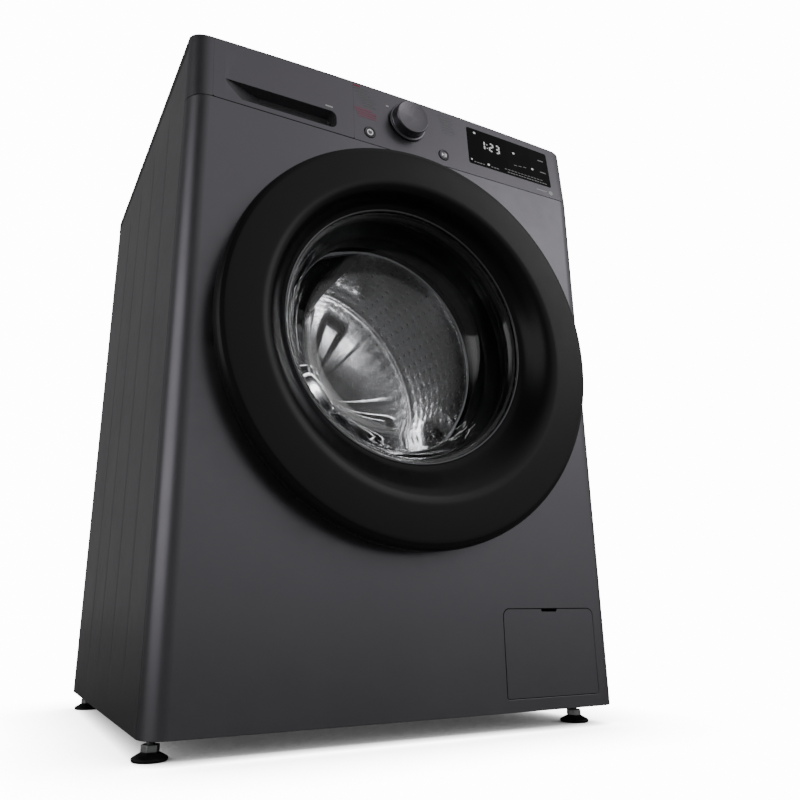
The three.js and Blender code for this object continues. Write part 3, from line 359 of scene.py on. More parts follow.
def cutBy(piece, *tools, operation="DIFFERENCE"):
    for tool in tools:
        boolean = piece.modifiers.new("cut", "BOOLEAN")
        boolean.operation = operation
        boolean.solver = "EXACT"
        boolean.material_mode = "TRANSFER"
        boolean.object = tool
        settled(piece)
        bpy.data.objects.remove(tool)
    return piece


def rides(piece, body, slot, *nodes):
    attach(piece, body)
    if nodes:
        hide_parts(*nodes)
    return piece


def standsFor(piece, *nodes):
    return rides(piece, nodeBody[nodes[0]], nodeSlot[nodes[0]], *nodes)


def joined(name, pieces, paint):
    shape = bmesh.new()
    for piece in pieces:
        shape.from_mesh(piece.data)
        bpy.data.objects.remove(piece)
    mesh = bpy.data.meshes.new(name)
    shape.to_mesh(mesh)
    shape.free()
    mesh.shade_smooth()
    mesh.set_sharp_from_angle(angle=math.radians(35))
    return meshObject(name, mesh, paint)


def roundedProfile(profile, radius, closed=True, steps=3):
    # rounds the corners of a turning profile
    count = len(profile)
    made = []
    for index, corner in enumerate(profile):
        here = Vector(corner)
        if not closed and index in (0, count - 1):
            made.append(here)
            continue
        before = Vector(profile[index - 1])
        after = Vector(profile[(index + 1) % count])
        turn = (here - before).angle(after - here, 0)
        reach = min(radius, (here - before).length * 0.45, (after - here).length * 0.45)
        if turn < math.radians(14) or reach < 0.02:
            made.append(here)
            continue
        start = here + (before - here).normalized() * reach
        end = here + (after - here).normalized() * reach
        for step in range(steps + 1):
            share = step / steps
            made.append(start.lerp(here, share).lerp(here.lerp(end, share), share))
    return made


def turned(name, profile, paint, axis="y", centre=(0, None), sides=128, rounding=0.7, closed=True, sharp=30):
    # profile points are (radius, place along the axis, rise of the axis)
    across, up = centre[0], drumHeight if centre[1] is None else centre[1]
    points = roundedProfile([(p[0], p[1], p[2] if len(p) > 2 else 0) for p in profile], rounding, closed)
    shape = bmesh.new()
    rings = []
    for radius, along, rise in points:
        ring = []
        for side in range(sides):
            angle = side / sides * math.tau
            first, second = radius * math.cos(angle), radius * math.sin(angle)
            if axis == "y":
                place = at(across + first, along, up + rise + second)
            elif axis == "x":
                place = at(along, across + first, up + second)
            else:
                place = at(across + first, up + second, along)
            ring.append(shape.verts.new(place))
        rings.append(ring)
    for index in range(len(rings) if closed else len(rings) - 1):
        near, far = rings[index], rings[(index + 1) % len(rings)]
        for side in range(sides):
            after = (side + 1) % sides
            shape.faces.new((near[side], near[after], far[after], far[side]))
    bmesh.ops.remove_doubles(shape, verts=shape.verts, dist=1e-7)
    bmesh.ops.dissolve_degenerate(shape, edges=shape.edges, dist=1e-8)
    return fromBmesh(name, shape, paint, sharp)


def stitched(shape, rings, ends=True):
    # faces between rings of equal count, and over both ends
    for near, far in zip(rings, rings[1:]):
        for index in range(len(near)):
            after = (index + 1) % len(near)
            shape.faces.new((near[index], near[after], far[after], far[index]))
    if ends:
        shape.faces.new(rings[0])
        shape.faces.new(rings[-1])


def prism(name, outline, low, high, paint, axis="y"):
    # outline pushed along an axis: (x, z) along y, (x, y) along z, (y, z) along x
    order = {"y": lambda a, b, c: at(a, c, b), "z": lambda a, b, c: at(a, b, c), "x": lambda a, b, c: at(c, a, b)}
    shape = bmesh.new()
    stitched(shape, [[shape.verts.new(order[axis](a, b, level)) for a, b in outline] for level in (low, high)])
    return fromBmesh(name, shape, paint)


def loft(name, rings, paint):
    # closed body through matching outlines (x, z) at given depths
    shape = bmesh.new()
    loops = [[shape.verts.new(at(x, y, z)) for x, z in ring] for y, ring in rings]
    stitched(shape, loops)
    return fromBmesh(name, shape, paint)


def arc(cx, cz, radius, start, end, steps):
    angles = [math.radians(start + (end - start) * n / steps) for n in range(steps + 1)]
    return [(cx + radius * math.cos(a), cz + radius * math.sin(a)) for a in angles]


def roundedBox(x0, x1, z0, z1, radius, steps=6):
    return [
        *arc(x1 - radius, z0 + radius, radius, -90, 0, steps),
        *arc(x1 - radius, z1 - radius, radius, 0, 90, steps),
        *arc(x0 + radius, z1 - radius, radius, 90, 180, steps),
        *arc(x0 + radius, z0 + radius, radius, 180, 270, steps),
    ]


def smoothLine(points, steps=5):
    # an even curve through a few points
    padded = [points[0], *points, points[-1]]
    made = []
    for n in range(1, len(padded) - 2):
        a, b, c, d = (Vector(p) for p in padded[n - 1:n + 3])
        for step in range(steps):
            t = step / steps
            made.append(0.5 * (2 * b + (c - a) * t + (2 * a - 5 * b + 4 * c - d) * t * t
                               + (3 * b - a - 3 * c + d) * t ** 3))
    made.append(Vector(points[-1]))
    return [tuple(p) for p in made]


def softened(node, width=0.6, segments=2, name=None, paint=None, angle=35):
    # the designed solid with its edges rounded
    source = frame["nodes"][node].data
    shape = bmesh.new()
    shape.from_mesh(source)
    bmesh.ops.remove_doubles(shape, verts=shape.verts, dist=2e-6)
    bmesh.ops.dissolve_limit(shape, angle_limit=math.radians(1), verts=shape.verts, edges=shape.edges)
    words = node.split("_")
    title = name or words[0] + "".join(word.capitalize() for word in words[1:])
    mesh = bpy.data.meshes.new(title)
    shape.to_mesh(mesh)
    shape.free()
    piece = meshObject(title, mesh, paint or nodeSlot[node])
    return standsFor(bevelled(piece, width, segments, angle), node)


# Copies made by geometry nodes.

def nodeTree(name, inputs):
    tree = bpy.data.node_groups.new(name, "GeometryNodeTree")
    tree.interface.new_socket(name="Geometry", in_out="INPUT", socket_type="NodeSocketGeometry")
    for label, kind, value in inputs:
        socket = tree.interface.new_socket(name=label, in_out="INPUT", socket_type=kind)
        if value is not None:
            socket.default_value = value
    tree.interface.new_socket(name="Geometry", in_out="OUTPUT", socket_type="NodeSocketGeometry")
    return tree, tree.nodes.new("NodeGroupInput").outputs, tree.nodes.new("NodeGroupOutput").inputs


def link(tree, *pairs):
    for source, target in pairs:
        if hasattr(source, "links"):
            tree.links.new(source, target)
        else:
            target.default_value = source


def geoMath(tree, operation, first, second=0.0):
    node = tree.nodes.new("ShaderNodeMath")
    node.operation = operation
    link(tree, (first, node.inputs[0]), (second, node.inputs[1]))
    return node.outputs[0]


def makeRowTree():
    # copies of one small shape over rows and columns, wrapped round the y axis
    tree, ins, outs = nodeTree("wrappedRows", [
        ("Shape", "NodeSocketObject", None), ("Columns", "NodeSocketInt", 8), ("Rows", "NodeSocketInt", 2),
        ("Angle step", "NodeSocketFloat", 0.1), ("Row step", "NodeSocketFloat", 0.01),
        ("Radius", "NodeSocketFloat", 0.1), ("Radius step", "NodeSocketFloat", 0.0),
        ("Stagger", "NodeSocketFloat", 0.5), ("Material", "NodeSocketMaterial", None),
    ])
    nodes = tree.nodes
    count = nodes.new("GeometryNodePoints")
    link(tree, (geoMath(tree, "MULTIPLY", ins["Columns"], ins["Rows"]), count.inputs["Count"]))
    index = nodes.new("GeometryNodeInputIndex").outputs[0]
    column = geoMath(tree, "MODULO", index, ins["Columns"])
    row = geoMath(tree, "FLOOR", geoMath(tree, "DIVIDE", index, ins["Columns"]))
    offset = geoMath(tree, "MULTIPLY", geoMath(tree, "MODULO", row, 2.0), ins["Stagger"])
    angle = geoMath(tree, "MULTIPLY", geoMath(tree, "ADD", column, offset), ins["Angle step"])
    radius = geoMath(tree, "ADD", ins["Radius"], geoMath(tree, "MULTIPLY", row, ins["Radius step"]))
    place = nodes.new("ShaderNodeCombineXYZ")
    link(tree, (geoMath(tree, "MULTIPLY", geoMath(tree, "SINE", angle), radius), place.inputs["X"]),
         (geoMath(tree, "MULTIPLY", row, ins["Row step"]), place.inputs["Y"]),
         (geoMath(tree, "MULTIPLY", geoMath(tree, "COSINE", angle), radius), place.inputs["Z"]))
    turn = nodes.new("ShaderNodeCombineXYZ")
    link(tree, (angle, turn.inputs["Y"]))
    spread = nodes.new("GeometryNodeSetPosition")
    link(tree, (count.outputs[0], spread.inputs["Geometry"]), (place.outputs[0], spread.inputs["Position"]))
    shape = nodes.new("GeometryNodeObjectInfo")
    link(tree, (ins["Shape"], shape.inputs["Object"]))
    copies = nodes.new("GeometryNodeInstanceOnPoints")
    link(tree, (spread.outputs[0], copies.inputs["Points"]), (shape.outputs["Geometry"], copies.inputs["Instance"]),
         (turn.outputs[0], copies.inputs["Rotation"]))
    real = nodes.new("GeometryNodeRealizeInstances")
    painted = nodes.new("GeometryNodeSetMaterial")
    link(tree, (copies.outputs[0], real.inputs[0]), (real.outputs[0], painted.inputs["Geometry"]),
         (ins["Material"], painted.inputs["Material"]), (painted.outputs[0], outs["Geometry"]))
    return tree


rowTree = makeRowTree()


def repeated(name, shape, paint, move, settings):
    # runs the tree on an empty mesh, and sets the result in place
    piece = meshObject(name, bpy.data.meshes.new(name), paint)
    modifier = piece.modifiers.new("rows", "NODES")
    modifier.node_group = rowTree
    settings = {"Shape": shape, "Material": paints[paint], **settings}
    for item in rowTree.interface.items_tree:
        if item.in_out == "INPUT" and item.name in settings:
            modifier[item.identifier] = settings[item.name]
    piece = settled(piece)
    piece.data.materials.clear()
    piece.data.materials.append(paints[paint])
    piece.data.transform(Matrix.Translation(move))
    bpy.data.objects.remove(shape)
    return piece


print("helpers ready")


# Cabinet panels.

cabinetSizes = {"cornerRadius": 26, "sheet": 1.2, "flangeDepth": 12, "opening": 186, "hatchGap": 0.8,
                "hatchFootRound": 2.4, "hatchRound": 8.5, "hatchThick": 2.5, "edge": 0.5}


def frontPlan(inset, steps=14):
    radius = cabinetSizes["cornerRadius"]
    side = halfWidth - radius
    return [*arc(-side, radius, radius - inset, 180, 270, steps), *arc(side, radius, radius - inset, 270, 360, steps)]


def hatchOutline(grow):
    # opening and cover of the pump filter: rounder at the top than at the hinge
    (x0, x1), (z0, z1) = span("filter_cover", "x"), span("filter_cover", "z")
    top, low = cabinetSizes["hatchRound"] + grow, cabinetSizes["hatchFootRound"] + grow
    left, right, foot, head = x0 - grow, x1 + grow, z0 - grow, z1 + grow
    return [*arc(right - top, head - top, top, 0, 90, 6), *arc(left + top, head - top, top, 90, 180, 6),
            *arc(left + low, foot + low, low, 180, 270, 5), *arc(right - low, foot + low, low, 270, 360, 5)]


def frontPanel():
    sizes = cabinetSizes
    radius, sheet = sizes["cornerRadius"], sizes["sheet"]
    back = halfWidth - sheet - sizes["flangeDepth"]
    inner = list(reversed(frontPlan(sheet)))
    inner[0] = (inner[0][0], radius - sheet)
    inner[-1] = (inner[-1][0], radius - sheet)
    plan = [*frontPlan(0), (back, radius), (back, radius - sheet), *inner, (-back, radius - sheet), (-back, radius)]
    panel = prism("frontPanel", plan, panelLow, seamHeight, "graphite_paint", "z")
    hole = turned("holeTool", [(0, -5), (sizes["opening"], -5), (sizes["opening"], 9), (0, 9)], "graphite_paint",
                  rounding=0, closed=False, sides=96)
    hatch = prism("hatchTool", hatchOutline(sizes["hatchGap"]), -5, 9, "graphite_paint")
    hook = span("door_hook", "x")[0] + 3
    slot = prism("slotTool", roundedBox(hook - 7, hook + 15, drumHeight - 14, drumHeight + 14, 2), -5, 9,
                 "graphite_paint")
    standsFor(bevelled(cutBy(panel, hole, hatch, slot), sizes["edge"]), "front_panel")


def filterCover():
    (x0, x1), (z0, z1) = span("filter_cover", "x"), span("filter_cover", "z")
    y0, y1 = span("filter_cover", "y")
    cover = prism("filterCover", hatchOutline(0), y0, y0 + cabinetSizes["hatchThick"], "graphite_paint")
    middle = (x0 + x1) / 2
    notch = prism("notchTool", roundedBox(middle - 12.5, middle + 12.5, z1 - 3.2, z1 + 12, 2.4), y0 - 1, y1 + 1,
                  "graphite_paint")
    cover = cutBy(cover, notch)
    hooks = [prism(f"coverHook{n}", roundedBox(x - 5, x + 5, z0 + 0.6, z0 + 9, 1), y0 + 2, y1, "graphite_paint")
             for n, x in enumerate((x0 + 26, x1 - 26))]
    cover = cutBy(cover, *hooks, operation="UNION")
    standsFor(bevelled(cover, 0.5), "filter_cover")


ribSizes = {"count": 4, "pitch": 99, "first": 121, "width": 18, "depth": 0.9, "margin": 42, "fade": 22,
            "steps": 180, "foldReach": 3.6}


def sidePanel(side):
    # pressed skin with soft upright ribs, and the designed inner flanges and rails
    node = "side_panel_" + ("left" if side < 0 else "right")
    s, sheet = ribSizes, cabinetSizes["sheet"]
    y0, y1 = span(node, "y")
    z0, z1 = span(node, "z")

    def plan(strength, inward):
        points = []
        for n in range(s["steps"] + 1):
            y = y0 + (y1 - y0) * n / s["steps"]
            dip = sum(0.5 + 0.5 * math.cos(math.pi * min(abs(y - s["first"] - k * s["pitch"]) / (s["width"] / 2), 1))
                      for k in range(s["count"]))
            points.append((side * (halfWidth - inward - dip * s["depth"] * strength), y))
        return points

    start = z0 + s["margin"]
    levels = [(z0, 0), (start, 0), (start + s["fade"] / 2, 0.5), (start + s["fade"], 1)]
    levels += [(z0 + z1 - z, strength) for z, strength in reversed(levels)]
    shape = bmesh.new()
    loops = [[shape.verts.new(at(x, y, z)) for x, y in (*plan(strength, 0), *reversed(plan(strength, sheet)))]
             for z, strength in levels]
    stitched(shape, loops)
    skin = fromBmesh(node + "Skin", shape, "graphite_paint")
    inner = bmesh.new()
    inner.from_mesh(frame["nodes"][node].data)
    bmesh.ops.remove_doubles(inner, verts=inner.verts, dist=2e-6)
    mesh = bpy.data.meshes.new(node + "Inner")
    inner.to_mesh(mesh)
    inner.free()
    limit = sorted((side * (halfWidth - 3.5), side * 100))
    inside = cutBy(meshObject(node + "Inner", mesh, "graphite_paint"),
                   prism("insideTool", roundedBox(*limit, z0 - 5, z1 + 5, 1), -5, wallDepth + 20, "graphite_paint"),
                   operation="INTERSECT")
    # folded edges that tie the skin to the inner flanges
    near, far = sorted((side * (halfWidth - s["foldReach"]), side * (halfWidth - sheet + 0.1)))
    strips = [(z1 - sheet, z1, y0, y1), (z0, z0 + sheet, y0, y1), (z0, z1, y0, y0 + sheet), (z0, z1, y1 - sheet, y1)]
    folds = [prism(f"{node}Fold{n}", [(near, low), (far, low), (far, high), (near, high)], first, last,
                   "graphite_paint") for n, (low, high, first, last) in enumerate(strips)]
    standsFor(joined("sidePanel" + ("Left" if side < 0 else "Right"), [skin, inside, *folds], "graphite_paint"), node)


frontPanel()
filterCover()
for side in (-1, 1):
    sidePanel(side)
softened("top_plate", 2.2, 4)
softened("back_panel", 0.4)
softened("base_pan", 0.8)
print("cabinet made")


# Rear screws and service cover.

screwSizes = {"head": 4.2, "height": 2.0, "slot": 0.9, "coverSheet": 1.5, "coverCount": 6}


def screwHead(name, x, y, z):
    # pan head with a cross recess, facing the wall
    r, h = screwSizes["head"], screwSizes["height"]
    head = turned(name, [(0, -h), (r * 0.55, -h), (r * 0.9, -h * 0.6), (r, 0), (0, 0)], "zinc_steel",
                  centre=(0, 0), sides=20, rounding=0.4, closed=False)
    s = screwSizes["slot"] / 2
    cross = [(s, s), (s, r * .6), (-s, r * .6), (-s, s), (-r * .6, s), (-r * .6, -s), (-s, -s), (-s, -r * .6),
             (s, -r * .6), (s, -s), (r * .6, -s), (r * .6, s)]
    head = cutBy(head, prism("crossTool", cross, -h - 1, -h * 0.45, "zinc_steel"))
    turn = Matrix.Rotation(math.pi, 4, "Z")
    head.data.transform(Matrix.Translation(-at(0, 0, 0)))
    head.data.transform(Matrix.Translation(at(x, y, z)) @ turn)
    return head


def rearScrews():
    heads = []
    low, high = panelLow + 14, span("back_panel", "z")[1] - 14
    edge = halfWidth - 12
    for n in range(5):
        z = low + (high - low) * n / 4
        heads += [screwHead(f"screw{n}{s}", s * edge, wallDepth, z) for s in (-1, 1)]
    for n in range(3):
        heads += [screwHead(f"screwRow{n}{z}", (n - 1) * 190, wallDepth, z) for z in (low, high)]
    rides(joined("rearScrews", heads, "zinc_steel"), "cabinet", "zinc_steel")


def rearCover():
    rim = span("rear_cover", "x")[1]
    y0, y1 = span("rear_cover", "y")
    t = screwSizes["coverSheet"]
    dish = turned("rearCover", [
        (0, y1 - t), (rim - 70, y1 - t), (rim - 64, y1 - t - 2.5), (rim - 34, y1 - t - 2.5), (rim - 26, y1 - t),
        (rim - 14, y0), (rim, y0), (rim, y0 + t), (rim - 13, y0 + t), (rim - 25, y1), (rim - 33, y1),
        (rim - 35, y1 - 2.5), (rim - 63, y1 - 2.5), (rim - 69, y1), (0, y1),
    ], "zinc_steel", closed=False, rounding=2.0, sides=96)
    standsFor(dish, "rear_cover")
    head = screwHead("coverScrew", 0, 0, 0)
    head.data.transform(Matrix.Translation(-at(0, 0, 0)))
    count = screwSizes["coverCount"]
    ring = repeated("rearCoverScrews", head, "zinc_steel", at(0, y0 + t, drumHeight), {
        "Columns": count, "Rows": 1, "Angle step": math.tau / count, "Radius": (rim - 7) * mm,
    })
    rides(ring, "cabinet", "zinc_steel")


rearScrews()
rearCover()
print("rear fittings made")


# Levelling feet.

footSizes = {"padRadius": 18, "nutAcross": 9.6, "stem": 4.6, "pitch": 1.75, "threadTop": 57}


def foot(node):
    sizes = footSizes
    x = sum(span(node, "x")) / 2
    y = sum(span(node, "y")) / 2
    p, s = sizes["padRadius"], sizes["stem"]
    pad = turned(node + "Pad", [(0, 0.4), (p - 6, 0.4), (p - 4.5, 0), (p - 1, 0), (p, 1.2), (p + 0.4, 3),
                                (p - 0.6, 4.2), (p - 2.6, 5.2), (p - 7, 7.6), (p - 9, 8.4), (0, 8.4)],
                 "foot_black", axis="z", centre=(x, y), sides=72, closed=False, rounding=0.9)
    standsFor(pad, node)
    flat = sizes["nutAcross"]
    nut = prism(node + "Nut", arc(x, y, flat, 0, 300, 5), 8.4, 15.6, "zinc_steel", "z")
    nut = bevelled(nut, 0.7, 3)
    rides(nut, nodeBody[node], "zinc_steel")
    profile = [(0, 15)]
    z = 15.6
    while z < sizes["threadTop"]:
        profile += [(s - 0.75, z), (s, z + sizes["pitch"] / 2)]
        z += sizes["pitch"]
    profile += [(s - 0.75, z), (0, z)]
    stem = turned(node + "Stem", profile, "zinc_steel", axis="z", centre=(x, y), sides=32, closed=False, rounding=0.1)
    rides(stem, nodeBody[node], "zinc_steel")


for corner in ("front_left", "front_right", "rear_left", "rear_right"):
    foot(f"foot_{corner}")
print("feet made")


# Control fascia and drawer front.

fasciaSizes = {"lean": 11.5, "bow": 5.5, "wall": 2.6, "edge": 0.2, "topRound": 3.4, "drawerGap": 0.12}
fasciaLow = span("control_fascia", "z")[0]
fasciaTall = topHeight - seamHeight - 0.3


def setback(x, z):
    # how far the leaning, bowed face lies behind the front plane
    share = (z - seamHeight - 0.3) / fasciaTall
    side = halfWidth - cabinetSizes["cornerRadius"]
    return share * (fasciaSizes["lean"] - fasciaSizes["bow"] * (1 - min(abs(x) / side, 1) ** 2))


def fasciaBlock(name, inset, low, high, back, topRound=0.0):
    radius = cabinetSizes["cornerRadius"]
    side = halfWidth - radius

    def outline(z, pull):
        reach = radius - inset - pull
        bend = reach - setback(side, z)
        points = [(-halfWidth + inset + pull, back)]
        points += [(-side + reach * math.cos(a), radius + bend * math.sin(a))
                   for a in (math.pi * (1 + n / 28) for n in range(15))]
        points += [(-side + 2 * side * n / 32, inset + pull + setback(-side + 2 * side * n / 32, z))
                   for n in range(1, 32)]
        points += [(side + reach * math.cos(a), radius + bend * math.sin(a))
                   for a in (math.pi * (1.5 + n / 28) for n in range(15))]
        return [*points, (halfWidth - inset - pull, back)]

    levels = [(low, 0.0), (high, 0.0)]
    if topRound:
        turns = [math.radians(18 * n) for n in range(6)]
        levels = [(low, 0.0)] + [(high - topRound + topRound * math.sin(a), topRound * (1 - math.cos(a)))
                                 for a in turns]
    shape = bmesh.new()
    stitched(shape, [[shape.verts.new(at(x, y, z)) for x, y in outline(z, pull)] for z, pull in levels])
    return fromBmesh(name, shape, "fascia_paint")


def fasciaShell(name, top):
    wall = fasciaSizes["wall"]
    radius = cabinetSizes["cornerRadius"]
    outer = fasciaBlock(name, 0, fasciaLow, topHeight, radius, fasciaSizes["topRound"])
    return cutBy(outer, fasciaBlock("shellTool", wall, fasciaLow - 1, topHeight + top, radius + 1))


drawerSizes = {"corner": 3, "tipInset": 11, "rightInset": 26, "recessLow": 7.3, "recessTall": 26.5, "tip": 26,
               "round": 9, "depth": 20}
drawerX = span("drawer_front", "x")
drawerZ = span("drawer_front", "z")
buttonSizes = {"radius": 8.6, "disc": 5.9, "gap": 0.4}


def gripOutline(grow=0.0, taper=0.0):
    # taper draws the pointed end in, so that the pocket slopes down from its tip
    sizes = drawerSizes
    left, right = drawerX[0] + sizes["tipInset"], drawerX[1] - sizes["rightInset"]
    low = drawerZ[0] + sizes["recessLow"]
    high = low + sizes["recessTall"]
    r = sizes["round"]
    return [(left - grow * 1.6 + taper, high + grow), (left + sizes["tip"] - grow + taper * 0.45, low - grow),
            (right - r, low - grow), *arc(right - r, low + r, r + grow, -90, 0, 8)[1:],
            *arc(right - r, high - r, r + grow, 0, 90, 8)]


def drawerFront():
    sizes = drawerSizes
    shell = fasciaShell("drawerFront", 1)
    face = prism("faceTool", roundedBox(*drawerX, *drawerZ, sizes["corner"]), -6, 60, "fascia_paint")
    front = cutBy(shell, face, operation="INTERSECT")
    end = sizes["depth"]
    cup = loft("gripCup", [(0.2, gripOutline(2)), (6, gripOutline(2)), (end + 2, gripOutline(-1, 20))],
               "fascia_paint")
    cup = cutBy(cup, prism("cupFace", roundedBox(*drawerX, *drawerZ, sizes["corner"]), -6, 60, "fascia_paint"),
                fasciaBlock("cupLimit", 0.9, fasciaLow - 1, topHeight + 1, end + 8), operation="INTERSECT")
    front = cutBy(front, cup, operation="UNION")
    # the pocket's cut faces take the darker finish: painted shade inside the recess
    pocket = loft("pocketTool", [
        (-8, gripOutline(0.2)), (2.5, gripOutline(0)), (7, gripOutline(-0.8, 16)), (end - 5, gripOutline(-2.6, 36)),
        (end - 1.5, gripOutline(-3.6, 46)), (end, gripOutline(-5.6, 50)),
    ], "recessPaintedShade")
    front = bevelled(cutBy(front, pocket), fasciaSizes["edge"], 3)
    standsFor(front, "drawer_front")


def controlFascia():
    gap = fasciaSizes["drawerGap"]
    shell = fasciaShell("controlFascia", -fasciaSizes["wall"])
    tools = [prism("drawerTool", roundedBox(drawerX[0] - gap, drawerX[1] + gap, drawerZ[0] - 9, drawerZ[1] + gap, 3),
                   -6, 60, "fascia_paint")]
    (x0, x1), (z0, z1) = span("display_window", "x"), span("display_window", "z")
    tools.append(prism("displayTool", roundedBox(x0 - .3, x1 + .3, z0 - .3, z1 + .3, 3.3), -6, 24, "fascia_paint"))
    for node in ("power_button", "start_button"):
        x, z = (sum(span(node, axis)) / 2 for axis in "xz")
        tools.append(prism(node + "Tool", arc(x, z, buttonSizes["radius"] + buttonSizes["gap"], 0, 352.5, 47), -6, 20,
                           "fascia_paint"))
    tools.append(prism("knobTool", arc(*knobPlace, 6, 0, 337.5, 15), -6, 20, "fascia_paint"))
    standsFor(bevelled(cutBy(shell, *tools), fasciaSizes["edge"], 3), "control_fascia")


drawerFront()
controlFascia()
print("fascia made")


# Display, printed marks, knob and buttons.

displaySizes = {"digitHeight": 15.8, "digitX": 27.5, "digitZ": -32}


def onFace(outline, name, paint, lift=0.06, thick=0.05):
    # thin printed shape that follows the leaning face
    shape = bmesh.new()
    stitched(shape, [[shape.verts.new(at(x, setback(x, z) + depth, z)) for x, z in outline]
                     for depth in (-lift - thick, -lift + 0.02)])
    return fromBmesh(name, shape, paint)


def bar(x, z, wide, tall, name, paint):
    return onFace(roundedBox(x, x + wide, z, z + tall, min(tall, wide) * 0.3, 2), name, paint)


def segmentDigit(x, z, height, lit, name):
    # one figure of a clock display, made of bars
    w, t = height * 0.56, height * 0.17
    h = height / 2
    bars = {"a": (t, height - t, w - 2 * t, t), "g": (t, h - t / 2, w - 2 * t, t), "d": (t, 0, w - 2 * t, t),
            "f": (0, h + t * 0.2, t, h - t * 0.7), "b": (w - t, h + t * 0.2, t, h - t * 0.7),
            "e": (0, t * 0.5, t, h - t * 0.7), "c": (w - t, t * 0.5, t, h - t * 0.7)}
    return [bar(x + a, z + b, wide, tall, name + key, "digitLight")
            for key, (a, b, wide, tall) in bars.items() if key in lit]


def displayPanel():
    sizes = displaySizes
    softened("display_window", 0.5, 3, name="displayWindow")
    (x0, x1), (z0, z1) = span("display_window", "x"), span("display_window", "z")
    height = sizes["digitHeight"]
    x, z = x0 + sizes["digitX"], z1 + sizes["digitZ"]
    pieces = segmentDigit(x - 4, z, height, "bc", "one")
    pieces += [bar(x + 7.4, z + height * k, 1.9, 1.9, f"colon{k}", "digitLight") for k in (0.22, 0.62)]
    pieces += segmentDigit(x + 11.5, z, height, "abged", "two")
    pieces += segmentDigit(x + 23, z, height, "abgcd", "three")
    pieces += [bar(a, b, 4.2, 3.4, f"icon{n}", "digitLight") for n, (a, b) in enumerate([
        (x0 + 12, z1 - 8.4), (x0 + 84, z1 - 22), (x1 - 35, z0 + 23.5), (x0 + 33, z0 + 4.8)])]
    pieces.append(bar(x0 + 3.6, z0 + 6, 2.8, 2.8, "startDot", "digitLight"))
    rides(joined("displayDigits", pieces, "digitLight"), "cabinet", "gloss_black")
    dim = [bar(x0 + 9 + n * 5.1, z0 + 3.6, 3.5 + (n * 5 % 3) * 0.4, 1.4, f"key{n}", "iconDim")
           for n in range(27) if n not in (4, 5, 9, 10, 11)]
    dim += [bar(x0 + 65 + n * 6.2, z0 + 8.4, 4.6, 1.1, f"keyUpper{n}", "iconDim") for n in range(12)]
    dim += [bar(x1 - 19 + n * 1.5, z1 - 18 - n * 22, 11, 1.8, f"line{n}", "iconDim") for n in range(2)]
    dim += [bar(x0 + 84 + n * 9, z0 + 21 + n, 6, 1.1, f"word{n}", "iconDim") for n in range(3)]
    rides(joined("displayLabels", dim, "iconDim"), "cabinet", "gloss_black")


markPlaces = {"tick": (-78, 841.6, 11, 2), "pointer": (-27, 823, 5, 2.6), "line": (233, 760, 20, 1.7),
              "disc": (260.5, 760.5, 3.8), "drawer": (-120, 790.8, 11, 2.4)}


def printedMarks():
    # plain lines where the programme names stand
    left, right = [], []
    for n in range(7):
        left.append(bar(-78 + n * 2.6, 838 - n * 4.4, 26 - (n * 7 % 9), 0.9, f"listLeft{n}", "inkFaint"))
        right.append(bar(60 + n * 1.2, 838 - n * 4.6, 26 - (n * 5 % 8), 0.9, f"listRight{n}", "inkFaint"))
    rides(joined("programNames", left + right, "inkFaint"), "cabinet", "fascia_paint")
    rose = [bar(-77 + n * 2, 803.5 - n * 3.9, 27 + (n * 5 % 7), 3.1, f"rose{n}", "inkRose") for n in range(4)]
    rides(joined("programNotes", rose, "inkRose"), "cabinet", "fascia_paint")
    rides(bar(*markPlaces["tick"], "redTick", "inkRed"), "cabinet", "fascia_paint")
    white = [bar(*markPlaces["pointer"], "pointerMark", "inkWhite"), bar(*markPlaces["line"], "tinyLine", "inkWhite"),
             onFace(arc(*markPlaces["disc"], 0, 348, 24), "tinyDisc", "inkWhite")]
    rides(joined("smallMarks", white, "inkWhite"), "cabinet", "fascia_paint")
    rides(bar(*markPlaces["drawer"], "drawerMark", "inkWhite"), "drawer", "fascia_paint")


knobSizes = {"faceRadius": 25.4, "boreRadius": 3}


def programKnob():
    x, z = knobPlace
    front, back = span("program_knob", "y")
    r, bore, base = knobSizes["faceRadius"], knobSizes["boreRadius"], span("program_knob", "x")[1] - x
    knob = turned("programKnob", [
        (0, front + 2.2), (r - 9, front + 1.4), (r - 2.6, front + 0.35), (r - 1, front), (r, front + 1.4),
        (r + 0.2, front + 5), (r + 0.5, -2.6), (r + 1.1, -1.9), (base - 0.8, -1.7), (base, -1.2), (base, -0.3),
        (bore, -0.3), (bore, back), (0, back),
    ], "fascia_paint", centre=(x, z), sides=120, closed=False, rounding=0.8)
    knob.data.materials[0] = spunFinish(at(x, 0, z))
    standsFor(knob, "program_knob")


def spunFinish(centre):
    # fine rings left by turning, round the knob's own axis
    material = finish("spunFace", (0.205, 0.195, 0.217), 0.3, 0.86, bump=0.1, smears=0.04, dust=0)
    tree = material.node_tree
    where = tree.nodes.new("ShaderNodeTexCoord").outputs["Object"]
    away = tree.nodes.new("ShaderNodeVectorMath")
    away.operation = "SUBTRACT"
    away.inputs[1].default_value = centre
    flat = tree.nodes.new("ShaderNodeVectorMath")
    flat.operation = "MULTIPLY"
    flat.inputs[1].default_value = (1, 0, 1)
    length = tree.nodes.new("ShaderNodeVectorMath")
    length.operation = "LENGTH"
    tree.links.new(where, away.inputs[0])
    tree.links.new(away.outputs[0], flat.inputs[0])
    tree.links.new(flat.outputs[0], length.inputs[0])
    rings = mathNode(tree, "SINE", mathNode(tree, "MULTIPLY", length.outputs["Value"], 14000.0))
    relief = next(node for node in tree.nodes if node.type == "BUMP")
    tree.links.new(mathNode(tree, "MULTIPLY", rings, 0.5), relief.inputs["Height"])
    return material


